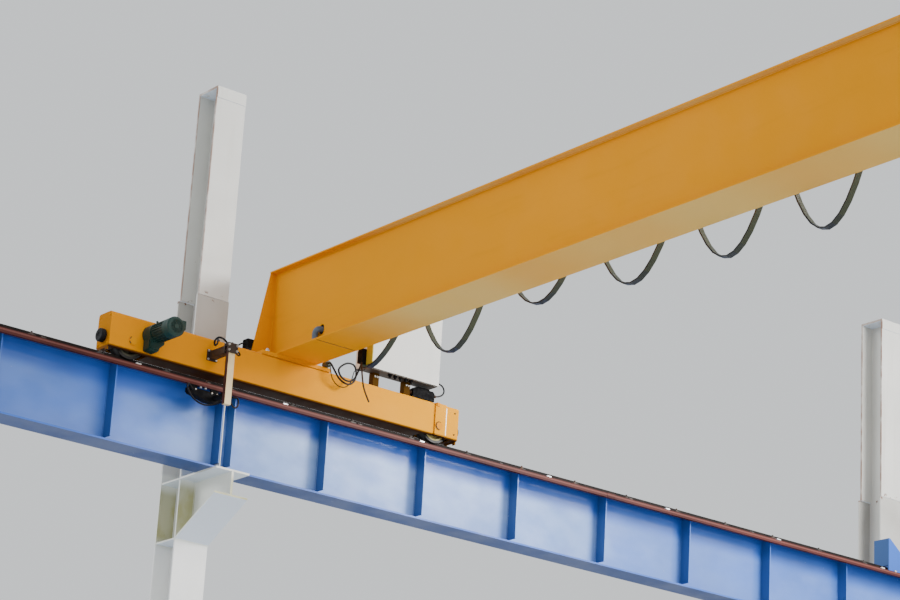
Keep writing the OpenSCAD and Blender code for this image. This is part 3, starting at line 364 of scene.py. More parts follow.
def column_paint():
    """Off-white paint with rain streaks, a painted shadow over the runway, rust at the splice and a green
    stain beside the brackets. It is painted lighter at and below the brackets, painted light, and faces that
    look down get a pale blue painted reflection."""
    colour = (0.66, 0.66, 0.63)
    under_bracket, in_bracket = RUNWAY_FOOT - 0.54, RUNWAY_FOOT - 0.48
    s = Surface("column_paint", roughness=0.45, coat=0.05, specular=0.35)
    height = s.axis("Z")
    body = s.mix(s.patches(1.4, 4, shift=1.0), shade(colour, 0.95), shade(colour, 1.06))
    # Painted light: the column is made lighter below the brackets, and at them.
    body = s.mix(s.span(height, in_bracket, under_bracket), body, (0.90, 0.90, 0.88))
    bracket = s.band(height, (under_bracket, in_bracket), (RUNWAY_FOOT + 0.10, RUNWAY_FOOT + 0.05))
    body = s.mix(bracket, body, (0.86, 0.87, 0.80))
    # Painted shadow: the column between the runway top and the splice is made grey on its faces to the north
    # and south.
    shadow_band = s.band(height, (RUNWAY_TOP, RUNWAY_TOP + 0.2), (SPLICE_Z + 0.01, SPLICE_Z - 0.01))
    shadow_band = s.both(shadow_band, s.span(s.math("ABSOLUTE", s.facing("Y")), 0.7, 0.9))
    shadow_patches = s.patches(3, 4, 0.2, 0.7, 0.45, 0.75, shift=6.5)
    body = s.mix(s.both(shadow_band, shadow_patches), body, (0.34, 0.33, 0.30))
    streak = s.patches(11, 6, 0.55, 0.78, most=0.3, stretch=(1, 1, 0.07), shift=2.0)
    body = s.mix(streak, body, (0.46, 0.44, 0.38))
    near_splice = s.band(height, (SPLICE_Z - 0.05, SPLICE_Z - 0.01), (SPLICE_Z + 0.05, SPLICE_Z + 0.01))
    spots = s.patches(19, 6, 0.60, 0.65, shift=7.0)
    body = s.mix(s.both(near_splice, spots), body, RUST)
    edge = s.both(s.span(s.near_column(), -0.136, -0.142), s.span(height, SPLICE_Z - 0.02, SPLICE_Z))
    worn = s.patches(6, 6, 0.35, 0.6, 0.2, 0.85, shift=2.5)
    body = s.mix(s.both(edge, worn), body, (0.24, 0.10, 0.05))
    beside = s.band(height, (RUNWAY_FOOT - 0.52, RUNWAY_FOOT - 0.42),
                    (RUNWAY_FOOT - 0.01, RUNWAY_FOOT - 0.10))
    across = s.facing("Y")
    beside = s.both(beside, s.math("ADD", s.span(across, -0.7, -0.9), s.span(across, 0.7, 0.9)))
    moss = s.patches(7, 8, 0.38, 0.60, 0.75, 1.0, (1, 1, 0.5), 8.0)
    body = s.mix(s.both(beside, moss), body, (0.46, 0.44, 0.22))
    # Painted reflection: faces that look down get a pale blue tint.
    body = s.mix(s.below(-0.3, -0.8), body, (0.7, 0.78, 0.90))
    body = s.mix(s.patches(34, 9, 0.72, 0.75, most=0.7, shift=3.3), body, RUST)
    s.bump(s.noise(160, 2), 0.0008, 0.08)
    return s.finish(body, s.patches(6, 5, least=0.38, most=0.6))


def wheel_paint():
    """Cast wheels with a yellowish disc, dull in the west, and a dark worn rim."""
    s = Surface("wheel_paint", roughness=0.5, specular=0.35)
    along = s.offset(s.math("ABSOLUTE", s.offset(s.axis("X"), CRANE_X)), WHEELBASE / 2)
    place = s.node("ShaderNodeCombineXYZ", X=along, Z=s.offset(s.axis("Z"), AXLE_Z))
    reach = s.node("ShaderNodeVectorMath")
    reach.operation = "LENGTH"
    s.feed(reach.inputs[0], place.outputs["Vector"])
    grime = s.patches(12, 6, 0.35, 0.65, shift=1.7)
    east = s.span(s.axis("X"), CRANE_X - 1, CRANE_X + 1)
    disc = s.mix(grime, s.mix(east, (0.03, 0.027, 0.012), (0.5, 0.40, 0.10)),
                 s.mix(east, (0.09, 0.085, 0.05), (0.78, 0.67, 0.28)))
    rim = s.mix(grime, (0.01, 0.009, 0.008), (0.03, 0.028, 0.026))
    s.bump(s.noise(70, 4), 0.001, 0.2)
    return s.finish(s.mix(s.span(reach.outputs["Value"], 0.112, 0.118), disc, rim))


def bar_paint():
    """A bar with a cream front. Its narrow side to the west is dark primer and rust."""
    s = Surface("bar_paint", roughness=0.5, specular=0.3)
    tone = s.patches(9, 5)
    front = s.mix(tone, (0.72, 0.54, 0.27), (0.82, 0.64, 0.36))
    side = s.mix(tone, (0.05, 0.016, 0.012), (0.10, 0.035, 0.025))
    marks = s.patches(30, 8, 0.64, 0.7, shift=3.0)
    front = s.mix(s.both(marks, 0.7), front, RUST)
    s.bump(s.noise(90, 3), 0.0008, 0.15)
    return s.finish(s.mix(s.span(s.facing("X"), -0.5, -0.9), front, side))


def casing_paint():
    """The maroon casing of the conductor line, with a painted highlight along its upper edge, dusty on top.
    """
    s = Surface("casing_paint", roughness=0.5, specular=0.12)
    body = s.mix(s.patches(5, 5, stretch=(0.3, 1, 1)), (0.06, 0.014, 0.012), (0.095, 0.024, 0.02))
    top = high("conductor_line").z
    # Painted highlight: a pale band along the upper edge of the casing.
    highlight_band = s.band(s.axis("Z"), (top - 0.021, top - 0.018), (top - 0.006, top - 0.009))
    body = s.mix(s.both(highlight_band, 0.6), body, (0.22, 0.085, 0.07))
    body = s.mix(s.above(), body, (0.03, 0.022, 0.02))
    s.bump(s.noise(120, 3), 0.0005, 0.15)
    return s.finish(body)


def cabinet_paint():
    """Light grey structured paint on a cabinet, with a near black underside that is painted shade."""
    s = Surface("cabinet_paint", roughness=0.5, specular=0.35)
    body = s.mix(s.patches(1.8, 5), (0.64, 0.65, 0.62), (0.71, 0.71, 0.68))
    streak = s.patches(9, 6, 0.55, 0.8, most=0.25, stretch=(1, 1, 0.12), shift=2.0)
    body = s.mix(streak, body, (0.45, 0.42, 0.36))
    # Painted shade: faces that look down are made near black.
    body = s.mix(s.below(-0.5, -0.9), body, (0.05, 0.042, 0.036))
    s.bump(s.noise(420, 2), 0.0006, 0.25)
    return s.finish(body)


def steel(name, colour, roughness=0.4, metallic=0.85, rust=0.25, fine=60):
    """Bare or plated steel with a grain and patches of rust or dull oxide."""
    s = Surface(name, roughness=roughness, metallic=metallic)
    grain = s.noise(fine, 4)
    body = s.mix(grain, shade(colour, 0.75), shade(colour, 1.2))
    body = s.mix(s.patches(12, 8, 0.5, 0.66, most=rust, shift=5.5), body, RUST)
    s.bump(grain, 0.0006, 0.25)
    return s.finish(body, s.patches(20, 5, least=roughness * 0.8, most=roughness * 1.4))


def rail_steel():
    """A dark rolled rail. The wheels have polished the top of its head."""
    s = Surface("rail_steel", roughness=0.6, specular=0.12)
    body = s.mix(s.patches(18, 8), (0.008, 0.006, 0.006), (0.022, 0.014, 0.011))
    level = s.span(s.facing("Z", "True Normal"), 0.97, 0.995)
    top = s.both(level, s.span(s.axis("Z"), RAIL_TOP - 0.001, RAIL_TOP - 0.0003))
    lane = s.noise(40, 4, stretch=(0.05, 1, 1))
    body = s.mix(top, body, s.mix(lane, (0.22, 0.21, 0.20), (0.42, 0.41, 0.40)))
    s.bump(s.noise(90, 6), 0.001, 0.3)
    return s.finish(body, s.math("SUBTRACT", 0.62, s.both(top, 0.38)))


def plastic(name, colour, roughness=0.5, dust=0.12):
    """Moulded plastic or rubber with a fine texture and dust in its hollows."""
    s = Surface(name, roughness=roughness, specular=0.15)
    body = s.mix(s.patches(18, 5), shade(colour, 0.8), shade(colour, 1.25))
    upward = s.span(s.facing("Z"), 0.2, 0.95, 0, dust)
    body = s.mix(s.both(upward, s.patches(14, 6, 0.3, 0.6)), body, shade(DUST, 0.8))
    s.bump(s.noise(260, 3), 0.0006, 0.2)
    return s.finish(body, s.patches(40, 4, least=roughness * 0.85, most=roughness * 1.2))


def flat_cable():
    """Black sheathing with ribs between the cores, olive on the side that faces the south."""
    s = Surface("flat_cable", roughness=0.45, specular=0.2)
    ribs = s.node("ShaderNodeTexWave", Vector=s.place, Scale=26.0)
    ribs.bands_direction = "X"
    body = s.mix(s.patches(6, 5, 0.35, 0.7, shift=2.0), (0.012, 0.016, 0.028), (0.022, 0.028, 0.038))
    inner = s.span(s.facing("Y"), -0.2, -0.9, 0, 0.6)
    body = s.mix(inner, body, (0.07, 0.078, 0.03))
    s.bump(ribs.outputs["Fac"], 0.002, 0.6)
    return s.finish(body, s.patches(25, 4, least=0.34, most=0.52))


def wire_rope():
    """Greased wire rope: slanting strands around it."""
    s = Surface("wire_rope", roughness=0.35, metallic=0.8)
    strands = s.node("ShaderNodeTexWave", Vector=s.stretched((1, 1, 0.5)), Scale=45.0)
    strands.bands_direction = "DIAGONAL"
    body = s.mix(strands.outputs["Fac"], (0.05, 0.045, 0.04), (0.34, 0.33, 0.31))
    s.bump(strands.outputs["Fac"], 0.0015, 0.8)
    return s.finish(body)


def floor_paint():
    s = Surface("pale_floor", roughness=0.6)
    body = s.mix(s.noise(0.7, 5), (0.66, 0.66, 0.65), (0.72, 0.72, 0.71))
    s.bump(s.noise(30, 4), 0.001, 0.1)
    return s.finish(body)


MATERIALS = dict((
    blue_paint(), column_paint(), wheel_paint(), bar_paint(), casing_paint(), cabinet_paint(),
    rail_steel(), flat_cable(), wire_rope(), floor_paint(),
    orange_paint("orange_paint", (0.78, 0.298, 0.0005)),
    orange_paint("carriage_orange_painted_light", (0.78, 0.282, 0.0005), painted_carriage_light=True),
    # A very dark copy of the orange, painted shadow, for the cabinet posts.
    orange_paint("painted_shadow_orange", (0.075, 0.032, 0.0003)),
    orange_paint("shaded_orange", (0.5, 0.42, 0.05)),
    paint("shim_white", (0.8, 0.8, 0.78), dust=0.1, rust=0.3),
    paint("wheel_yellow", (0.55, 0.42, 0.06), 0.5, dust=0.3, rust=0.6, cloud=8),
    paint("drive_teal", (0.009, 0.042, 0.034), 0.5, 0.15, (0.06, 0.075, 0.06), cloud=6, coat=0.0),
    paint("arm_brown", (0.035, 0.022, 0.016), 0.5, 0.2, (0.16, 0.13, 0.10), rust=0.5, cloud=9, coat=0.0),
    steel("galvanised", (0.62, 0.63, 0.64), rust=0.1, fine=30),
    steel("axle_steel", (0.30, 0.29, 0.28), rust=0.3),
    steel("zinc", (0.5, 0.49, 0.46), 0.42, rust=0.35, fine=90),
    steel("dull_steel", (0.055, 0.045, 0.04), 0.6, metallic=0.3, rust=0.6),
    plastic("rubber", (0.01, 0.01, 0.011), 0.6),
    plastic("black_plastic", (0.004, 0.004, 0.005), 0.8, dust=0.01),
    plastic("conduit_grey", (0.10, 0.13, 0.17), 0.45),
    plastic("cable_black", (0.01, 0.01, 0.012), 0.42),
    plastic("gland_grey", (0.07, 0.09, 0.075)),
    plastic("brown_lead", (0.05, 0.022, 0.010), 0.45),
))
# Slots whose look has another name
for slot, look in (("runway_blue", "blue_paint"), ("conductor_red", "casing_paint"),
                   ("cream_bar", "bar_paint"), ("bridge_orange", "orange_paint")):
    MATERIALS[slot] = MATERIALS[look]
# Nodes that don't look like the rest of their slot
OWN_LOOKS = {
    "festoon_cable": "flat_cable", "lead_gland": "gland_grey", "conductor_hangers": "dull_steel",
    "end_carriage_north": "carriage_orange_painted_light", "end_carriage_south": "carriage_orange_painted_light",
    "carriage_end_plates": "carriage_orange_painted_light", "cabinet_posts": "painted_shadow_orange",
    "festoon_anchor": "shaded_orange",
    "wheel_north_west": "wheel_paint", "wheel_north_east": "wheel_paint",
    "wheel_south_west": "wheel_paint", "wheel_south_east": "wheel_paint",
}


def dress_nodes():
    """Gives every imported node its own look, or the finish of its slot."""
    slots = {row["node"]: row["material_slot"] for row in frame["record"]["subparts"]}
    for name, obj in frame["nodes"].items():
        material = MATERIALS[OWN_LOOKS.get(name, slots[name])]
        if not obj.material_slots:
            obj.data.materials.append(material)
        for slot in obj.material_slots:
            slot.material = material


# Shapes

SHARP_ANGLE = math.radians(35)


def ring(centre, side, other, radius, count):
    """Points around a centre, in the plane of two directions."""
    return [centre + radius * (math.cos(math.tau * k / count) * side + math.sin(math.tau * k / count) * other)
            for k in range(count)]


def polar(centre, radius, angle):
    """The point at an angle around a centre, in an upright plane."""
    x, y, z = centre
    return (x + radius * math.cos(angle), y, z + radius * math.sin(angle))


class Shapes:
    """Gathers the faces of many small shapes, to become one mesh."""

    def __init__(self):
        self.points = []
        self.faces = []

    def add(self, points, faces):
        start = len(self.points)
        self.points += [Vector(p) for p in points]
        self.faces += [tuple(start + i for i in face) for face in faces]

    def block(self, corner, opposite):
        a = [min(p) for p in zip(corner, opposite)]
        b = [max(p) for p in zip(corner, opposite)]
        points = [(x, y, z) for z in (a[2], b[2]) for y in (a[1], b[1]) for x in (a[0], b[0])]
        self.add(points, [(0, 2, 3, 1), (4, 5, 7, 6), (0, 1, 5, 4), (2, 6, 7, 3), (0, 4, 6, 2), (1, 3, 7, 5)])

    def turned(self, place, direction, profile, sides=12):
        """A turned shape. The profile is (distance along the direction, radius), radius 0 at closed ends."""
        along = Vector(direction).normalized()
        side = along.orthogonal().normalized()
        rings = []
        for distance, radius in profile:
            centre = Vector(place) + distance * along
            rings.append(ring(centre, side, along.cross(side), radius, sides) if radius else [centre])
        self.skin(rings)

    def skin(self, rings):
        """Joins rings of points. A ring of one point closes an end."""
        points = [p for ring_points in rings for p in ring_points]
        faces = []
        start = 0
        for first, after in zip(rings, rings[1:]):
            n, m = len(first), len(after)
            second = start + n
            for k in range(max(n, m)):
                corners = [start + k % n, start + (k + 1) % n, second + (k + 1) % m, second + k % m]
                faces.append(tuple(dict.fromkeys(corners)))
            start = second
        self.add(points, [f for f in faces if len(f) > 2])

    def bolt(self, place, direction, size=0.02, proud=0.0):
        """A hexagon head on a washer. With proud above 0 the thread stands out of the nut."""
        washer_r, washer_t, head_r = size * 0.95, size * 0.15, size * 0.85
        self.turned(place, direction, [(0, 0), (0, washer_r), (washer_t, washer_r), (washer_t, 0)], 16)
        base = Vector(place) + Vector(direction).normalized() * size * 0.15
        self.turned(base, direction, [(0, head_r), (size * 0.55, head_r), (size * 0.62, head_r * 0.85),
                                      (size * 0.62, 0)], 6)
        if proud:
            self.turned(base, direction, [(size * 0.6, size / 2), (size * 0.6 + proud, size / 2),
                                          (size * 0.65 + proud, size * 0.4), (size * 0.65 + proud, 0)], 12)

    def tube(self, path, radius, sides=8):
        """A round bar or cord along a path, with flat ends. Its side direction turns as little as it can."""
        path = [Vector(p) for p in path]
        rings = [[path[0]]]
        side = None
        for i, point in enumerate(path):
            ahead = (path[min(i + 1, len(path) - 1)] - path[max(i - 1, 0)]).normalized()
            side = ahead.orthogonal() if side is None else side - side.dot(ahead) * ahead
            side.normalize()
            rings.append(ring(point, side, ahead.cross(side), radius, sides))
        self.skin(rings + [[path[-1]]])

    def weld(self, start, end, size=0.005, step=0.12, seed=1):
        """A fillet weld: a thin bar that swells and wanders a little."""
        start, end = Vector(start), Vector(end)
        count = max(2, int((end - start).length / step))
        dice = random.Random(seed)
        ahead = (end - start).normalized()
        side = ahead.orthogonal().normalized()
        other = ahead.cross(side)
        rings = [[start]]
        for i in range(count + 1):
            rings.append(ring(start.lerp(end, i / count), side, other, size * dice.uniform(0.85, 1.15), 6))
        self.skin(rings + [[end]])

    def piece(self, name, body, slot, look=None, bevel=0.0):
        """Makes the mesh. It rides on the body and has the look, or else the slot's finish."""
        mesh = bpy.data.meshes.new(name)
        mesh.from_pydata(self.points, [], self.faces)
        mesh.validate()
        mesh.shade_smooth()
        mesh.set_sharp_from_angle(angle=SHARP_ANGLE)
        mesh.materials.append(MATERIALS[look or slot])
        obj = new_object(name, mesh)
        if bevel:
            modifier = obj.modifiers.new("edges", "BEVEL")
            modifier.width = bevel
            modifier.segments = 2
            modifier.limit_method = "ANGLE"
        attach(obj, body)
        return obj


def steps(start, end, pitch):
    """Evenly pitched places from start up to end."""
    count = int((end - start) / pitch + 1e-6)
    return [start + i * pitch for i in range(count + 1)]


# Runway

def runway_welds():
    """Welds along the flanges and around the stiffeners of the runway girders."""
    shapes = Shapes()
    seed = 1
    foot, top = RUNWAY_FOOT + STIFFENER_GAP, RUNWAY_TOP - RUNWAY_FLANGE_T
    starts = (RUNWAY_START, RUNWAY_START + BAY)
    stiffeners = [start + x for start in starts
                  for x in [0.1] + [STIFFENER_PITCH * k for k in range(1, 8)]]
    for side, face in product(SIDES, SIDES):
        y = side * RAIL_Y + face * RUNWAY_WEB_HALF_T
        out = y + face * STIFFENER_REACH
        for z, start in product((RUNWAY_FOOT + RUNWAY_FLANGE_T, top), starts):
            shapes.weld((start, y, z), (start + BAY - 0.01, y, z), 0.006, 0.25, seed)
            seed += 1
        for place, edge in product(stiffeners, (-STIFFENER_HALF_T, STIFFENER_HALF_T)):
            x = place + edge
            shapes.weld((x, y, foot), (x, y, top), 0.005, 0.15, seed)
            shapes.weld((x, y, top), (x, out, top), 0.005, 0.05, seed)
            seed += 1
    shapes.piece("runway_welds", "runway", "runway_blue")


def rail_clips():
    """Clamps on both edges of the rail foot, each with its bolt."""
    half_l = 0.03
    packing_top, clamp_foot, clamp_top = RUNWAY_TOP + 0.012, RUNWAY_TOP + 0.0125, RUNWAY_TOP + 0.022
    foot_edge = (high("rail_north").y - low("rail_north").y) / 2
    plates, bolts = Shapes(), Shapes()
    for side, x, face in product(SIDES, steps(RUNWAY_START + 0.25, RUNWAY_END - 0.2, 0.6), SIDES):
        y = side * RAIL_Y + face * foot_edge
        outer = y + face * 0.036
        plates.block((x - half_l, y + face * 0.001, RUNWAY_TOP), (x + half_l, outer, packing_top))
        plates.block((x - half_l, y - face * 0.018, clamp_foot), (x + half_l, outer, clamp_top))
        bolts.bolt((x, y + face * 0.018, clamp_top), UP, 0.016, 0.012)
    plates.piece("rail_clips", "runway", "rail_steel", "dull_steel", bevel=0.002)
    bolts.piece("rail_clip_bolts", "runway", "rail_steel", "dull_steel")


def runway_bolts():
    """Bolts through the girder ends, the bracket seats and the end stops."""
    shapes = Shapes()
    joint_face = RUNWAY_START + BAY - 0.016
    seat_top = RUNWAY_FOOT + RUNWAY_FLANGE_T
    for side in SIDES:
        for across, rise in product((0.04, 0.085), (0.12, 0.30, 0.48)):
            shapes.bolt((joint_face, side * (RAIL_Y + across), RUNWAY_FOOT + rise), (-1, 0, 0))
        for column, along, across in product(COLUMN_PLACES, (-0.13, -0.05, 0.05, 0.125), (-0.055, 0.09)):
            x = column + along
            if RUNWAY_START < x < RUNWAY_END - 0.02 and abs(x - SHIM_X) > 0.03:
                shapes.bolt((x, side * (RAIL_Y + across), seat_top), UP)
        for stop, across, along in product((RUNWAY_START + 0.25, RUNWAY_END - 0.25),
                                           (-0.115, 0.115), (-0.08, 0.08)):
            place = (stop + along, side * RAIL_Y + across * 0.99, RUNWAY_TOP)
            shapes.bolt(place, UP, 0.018, 0.01)
    shapes.piece("runway_bolts", "runway", "galvanised", "zinc")


def line_joints():
    """Sleeves over the joints of the conductor line, the screws of its hangers, and its bright clips."""
    near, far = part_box("conductor_line")
    sleeves, screws, clips = Shapes(), Shapes(), Shapes()
    for x in steps(near.x + 4.0, far.x - 1.0, 4.0):
        sleeves.block((x - 0.05, near.y - 0.003, near.z + 0.006), (x + 0.05, far.y + 0.003, far.z + 0.003))
    for x in steps(FIRST_CLIP_X, far.x - 0.3, CLIP_PITCH):
        clips.block((x - 0.022, near.y + 0.004, far.z + 0.0005), (x + 0.022, far.y + 0.006, far.z + 0.011))
        clips.bolt((x - 0.012, near.y + 0.014, far.z + 0.01), UP, 0.007)
    for x in steps(low("conductor_hangers").x + 0.015, far.x - 0.1, HANGER_PITCH):
        screws.bolt((x, far.y + 0.012, RUNWAY_TOP + 0.004), UP, 0.01, 0.006)
        screws.bolt((x, (near.y + far.y) / 2, far.z + 0.01), UP, 0.008)
    sleeves.piece("conductor_sleeves", "runway", "conductor_red", bevel=0.002)
    screws.piece("hanger_screws", "runway", "galvanised", "dull_steel")
    clips.piece("line_clips", "runway", "galvanised", bevel=0.001)


def column_details():
    """Anchor nuts, the welds of bases, brackets and splices, and a doubling plate under each column head."""
    anchors, welds, plates = Shapes(), Shapes(), Shapes()
    head_foot = low("head_plates").z
    base_top = high("base_plates").z
    column_middle = (COLUMN_FACE + COLUMN_BACK) / 2
    plate_half_w, splice_in, anchor_places = 0.1435, 0.008, (-0.185, 0.185)
    for side in SIDES:
        inner = side * COLUMN_FACE
        for column in COLUMN_PLACES:
            left, right = column - COLUMN_HALF_W, column + COLUMN_HALF_W
            for x, y in product(anchor_places, anchor_places):
                anchors.bolt((column + x, side * (column_middle + y), base_top), UP, 0.026, 0.03)
            for y in (inner, side * COLUMN_BACK):
                welds.weld((left, y, base_top), (right, y, base_top), 0.007, 0.06)
            welds.weld((left + splice_in, inner, SPLICE_Z), (right - splice_in, inner, SPLICE_Z), 0.005, 0.05)
            plates.block((column - plate_half_w, inner, head_foot - 0.085),
                         (column + plate_half_w, inner - side * 0.006, head_foot))
            for z in (SEAT_FOOT, RUNWAY_FOOT - 0.5):
                welds.weld((left, inner, z), (right, inner, z), 0.006, 0.06)
            for x in (column - 0.01, column + 0.01):
                welds.weld((x, inner, RUNWAY_FOOT - 0.48), (x, inner, SEAT_FOOT), 0.006)
                welds.weld((x, side * (RAIL_Y - 0.184), SEAT_FOOT), (x, inner, SEAT_FOOT), 0.005)
    anchors.piece("anchor_nuts", "runway", "galvanised", "zinc")
    welds.piece("column_welds", "runway", "column_paint")
    plates.piece("column_head_plates", "runway", "column_paint", bevel=0.002)


# Bridge

def girder_welds():
    """Long seams of the box girder, the upright seams near its ends, and the seams across its underside,
    which are drawn dark as a painted shadow line.
    """
    shapes, seams = Shapes(), Shapes()
    foot, top = GIRDER_FOOT + FLANGE_T, GIRDER_TOP - FLANGE_T
    under = GIRDER_FOOT + 0.001
    for x in (WEB_NEAR, WEB_FAR):
        shapes.weld((x, GIRDER[0].y + 0.02, foot), (x, GIRDER[1].y - 0.02, foot), 0.006, 0.2, 3)
        shapes.weld((x, GIRDER[0].y + 0.15, top), (x, GIRDER[1].y - 0.15, top), 0.006, 0.2, 4)
        for side in SIDES:
            shapes.weld((x, side * WEB_END, foot), (x, side * WEB_END, top), 0.005, 0.1, 5)
    for side, face in product(SIDES, SIDES):
        shapes.weld((GIRDER_X + face * 0.20, side * WEB_END, under),
                    (GIRDER_X + face * 0.325, side * WEB_END, under), 0.004, 0.06, 6)
    # The seams across the underside are real; their dark steel look is a painted shadow line.
    for side in SIDES:
        y = side * (RAIL_Y - 0.63)
        seams.weld((WEB_NEAR - 0.04, y, under), (WEB_FAR + 0.04, y, under), 0.004, 0.04, 7)
    shapes.piece("girder_welds", "bridge", "bridge_orange")
    seams.piece("splice_seams_shadow_dark", "bridge", "bridge_orange", "dull_steel")


def saddle_bolts():
    """Bolts of the connection plates, beside the girder. One gives way to the saddle leads."""
    shapes = Shapes()
    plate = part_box("connection_plates")
    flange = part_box("girder_bottom_flange")
    places = ((plate[0].x + flange[0].x) / 2, (plate[1].x + flange[1].x) / 2)
    for side, x, across in product(SIDES, places, (-0.06, 0.06)):
        if side < 0 or across > 0 or x < GIRDER_X:
            shapes.bolt((x, side * RAIL_Y + across, plate[1].z), UP, 0.024, 0.014)
    shapes.piece("saddle_bolts", "bridge", "galvanised", "zinc")


def carriage_details():
    """Cheek ears, white strips that are painted highlights, dark arcs of painted shade at the axle ends,
    bolts and welds of the end carriages.
    """
    ears, bolts, welds, highlight_strips, shade_arcs = Shapes(), Shapes(), Shapes(), Shapes(), Shapes()
    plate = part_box("connection_plates")
    end = CRANE_X + CARRIAGE_HALF_L
    west_axle, east_axle = CRANE_X - WHEELBASE / 2, CRANE_X + WHEELBASE / 2
    # Painted shade: dark arcs on the west side of each axle end, where the rim of its raised disc is shaded.
    shade_arc_r = 0.032
    shade_arc_spans = ((west_axle, 0.008, 125, 165), (west_axle, 0.008, 195, 235), (east_axle, 0.02, 70, 280))
    for side in SIDES:
        near = side * (RAIL_Y - CARRIAGE_HALF_W)
        for x, proud, first, last in shade_arc_spans:
            centre = (x, near - side * (proud - 0.002), AXLE_Z)
            arc = [polar(centre, shade_arc_r, math.radians(a)) for a in range(first, last + 1, 10)]
            shade_arcs.tube(arc, 0.004, 6)
        # Painted highlight: a white strip on the carriage side, where the edge of the cheek plate catches the
        # light.
        highlight_strips.block((end - 0.131, near, CARRIAGE_FOOT + 0.024),
                     (end - 0.117, near - side * 0.004, CARRIAGE_TOP - 0.024))
        ears.block((end - 0.235, near - side * 0.012, CARRIAGE_TOP - 0.03),
                   (end - 0.205, near - side * 0.02, CARRIAGE_TOP - 0.002))
        for z in (CARRIAGE_TOP - 0.05, CARRIAGE_FOOT + 0.05):
            bolts.bolt((end - 0.03, near, z), (0, -side, 0), 0.008)
        for facing, y, z in product((-1, 1), (-0.07, 0.07), (CARRIAGE_FOOT + 0.03, CARRIAGE_TOP - 0.03)):
            x = CRANE_X + facing * (CARRIAGE_HALF_L + 0.01)
            ears.bolt((x, side * RAIL_Y + y, z), (facing, 0, 0), 0.009)
        welds.weld((plate[0].x, near, CARRIAGE_TOP), (plate[1].x, near, CARRIAGE_TOP), 0.004, 0.08, 8)
    ears.piece("carriage_ears", "bridge", "bridge_orange", bevel=0.002)
    highlight_strips.piece("carriage_highlight_strips", "bridge", "shim_white", bevel=0.001)
    shade_arcs.piece("axle_shade_arcs", "bridge", "axle_steel", "dull_steel")
    bolts.piece("carriage_bolts", "bridge", "axle_steel", "dull_steel")
    welds.piece("carriage_welds", "bridge", "bridge_orange")


def drive_details():
    """Cover bolts, plugs and fan grilles of the travel drives."""
    bolts, grilles = Shapes(), Shapes()
    axis_x, axis_z = CRANE_X - 1.344, AXLE_Z + 0.074
    flange_bolt_r, wire_r, motor_l = 0.075, 0.0015, 0.27
    for side in SIDES:
        out = (0, -side, 0)
        face = side * DRIVE_FACE
        for x, z in ((-0.044, -0.094), (-0.04, -0.114), (-0.01, -0.120), (0.01, -0.110)):
            bolts.bolt((axis_x + x, face, axis_z + z), out, 0.006)
        for k in range(4):
            place = polar((axis_x, face - side * 0.012, axis_z), flange_bolt_r, math.tau * (k + 0.5) / 4)
            bolts.bolt(place, out, 0.005)
        centre = (axis_x, side * (DRIVE_FACE - motor_l), axis_z)
        for radius in (0.026, 0.034, 0.042, 0.050):
            grilles.tube([polar(centre, radius, math.tau * k / 24) for k in range(25)], wire_r, 6)
        for k in range(6):
            grilles.tube([polar(centre, radius, math.tau * k / 6) for radius in (0.02, 0.054)], wire_r, 6)
    bolts.piece("drive_bolts", "bridge", "drive_teal")
    grilles.piece("fan_grilles", "bridge", "drive_teal")


def collector_details():
    """Screws of the collector's foot, clamp and head, and the springs at its head."""
    bolts, springs = Shapes(), Shapes()
    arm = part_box("collector_arm")
    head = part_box("collector_head")
    arm_z = (arm[0].z + arm[1].z) / 2
    x = middle("collector_bar").x
    for dx, dz in product((-0.037, 0.037), (-0.034, 0.034)):
        bolts.bolt((x + dx, RAIL_Y - CARRIAGE_HALF_W - 0.01, arm_z + dz), SOUTH, 0.01, 0.005)
        bolts.bolt((x + dx, arm[0].y, arm_z + dz * 0.65), SOUTH, 0.01, 0.008)
    for spot in (-0.18, -0.03, 0.02):
        bolts.bolt((x + spot, head[1].y, head[1].z - 0.04), (0, 1, 0), 0.008)
        bolts.bolt((x + spot, head[1].y - 0.06, head[1].z - 0.04), SOUTH, 0.008)
    turns, points, coil_r, coil_h = 9, 10, 0.009, 0.010
    for spot in (-0.12, -0.075):
        centre = Vector((x + spot, head[1].y - 0.03, head[1].z - 0.011))
        circle = ring(centre, Vector((1, 0, 0)), Vector((0, 1, 0)), coil_r, points)
        coil = [circle[k % points] + Vector((0, 0, coil_h * k / (points * turns)))
                for k in range(points * turns)]
        springs.tube(coil, 0.0013, 6)
    bolts.piece("collector_bolts", "bridge", "galvanised", "zinc")
    springs.piece("collector_springs", "bridge", "galvanised")


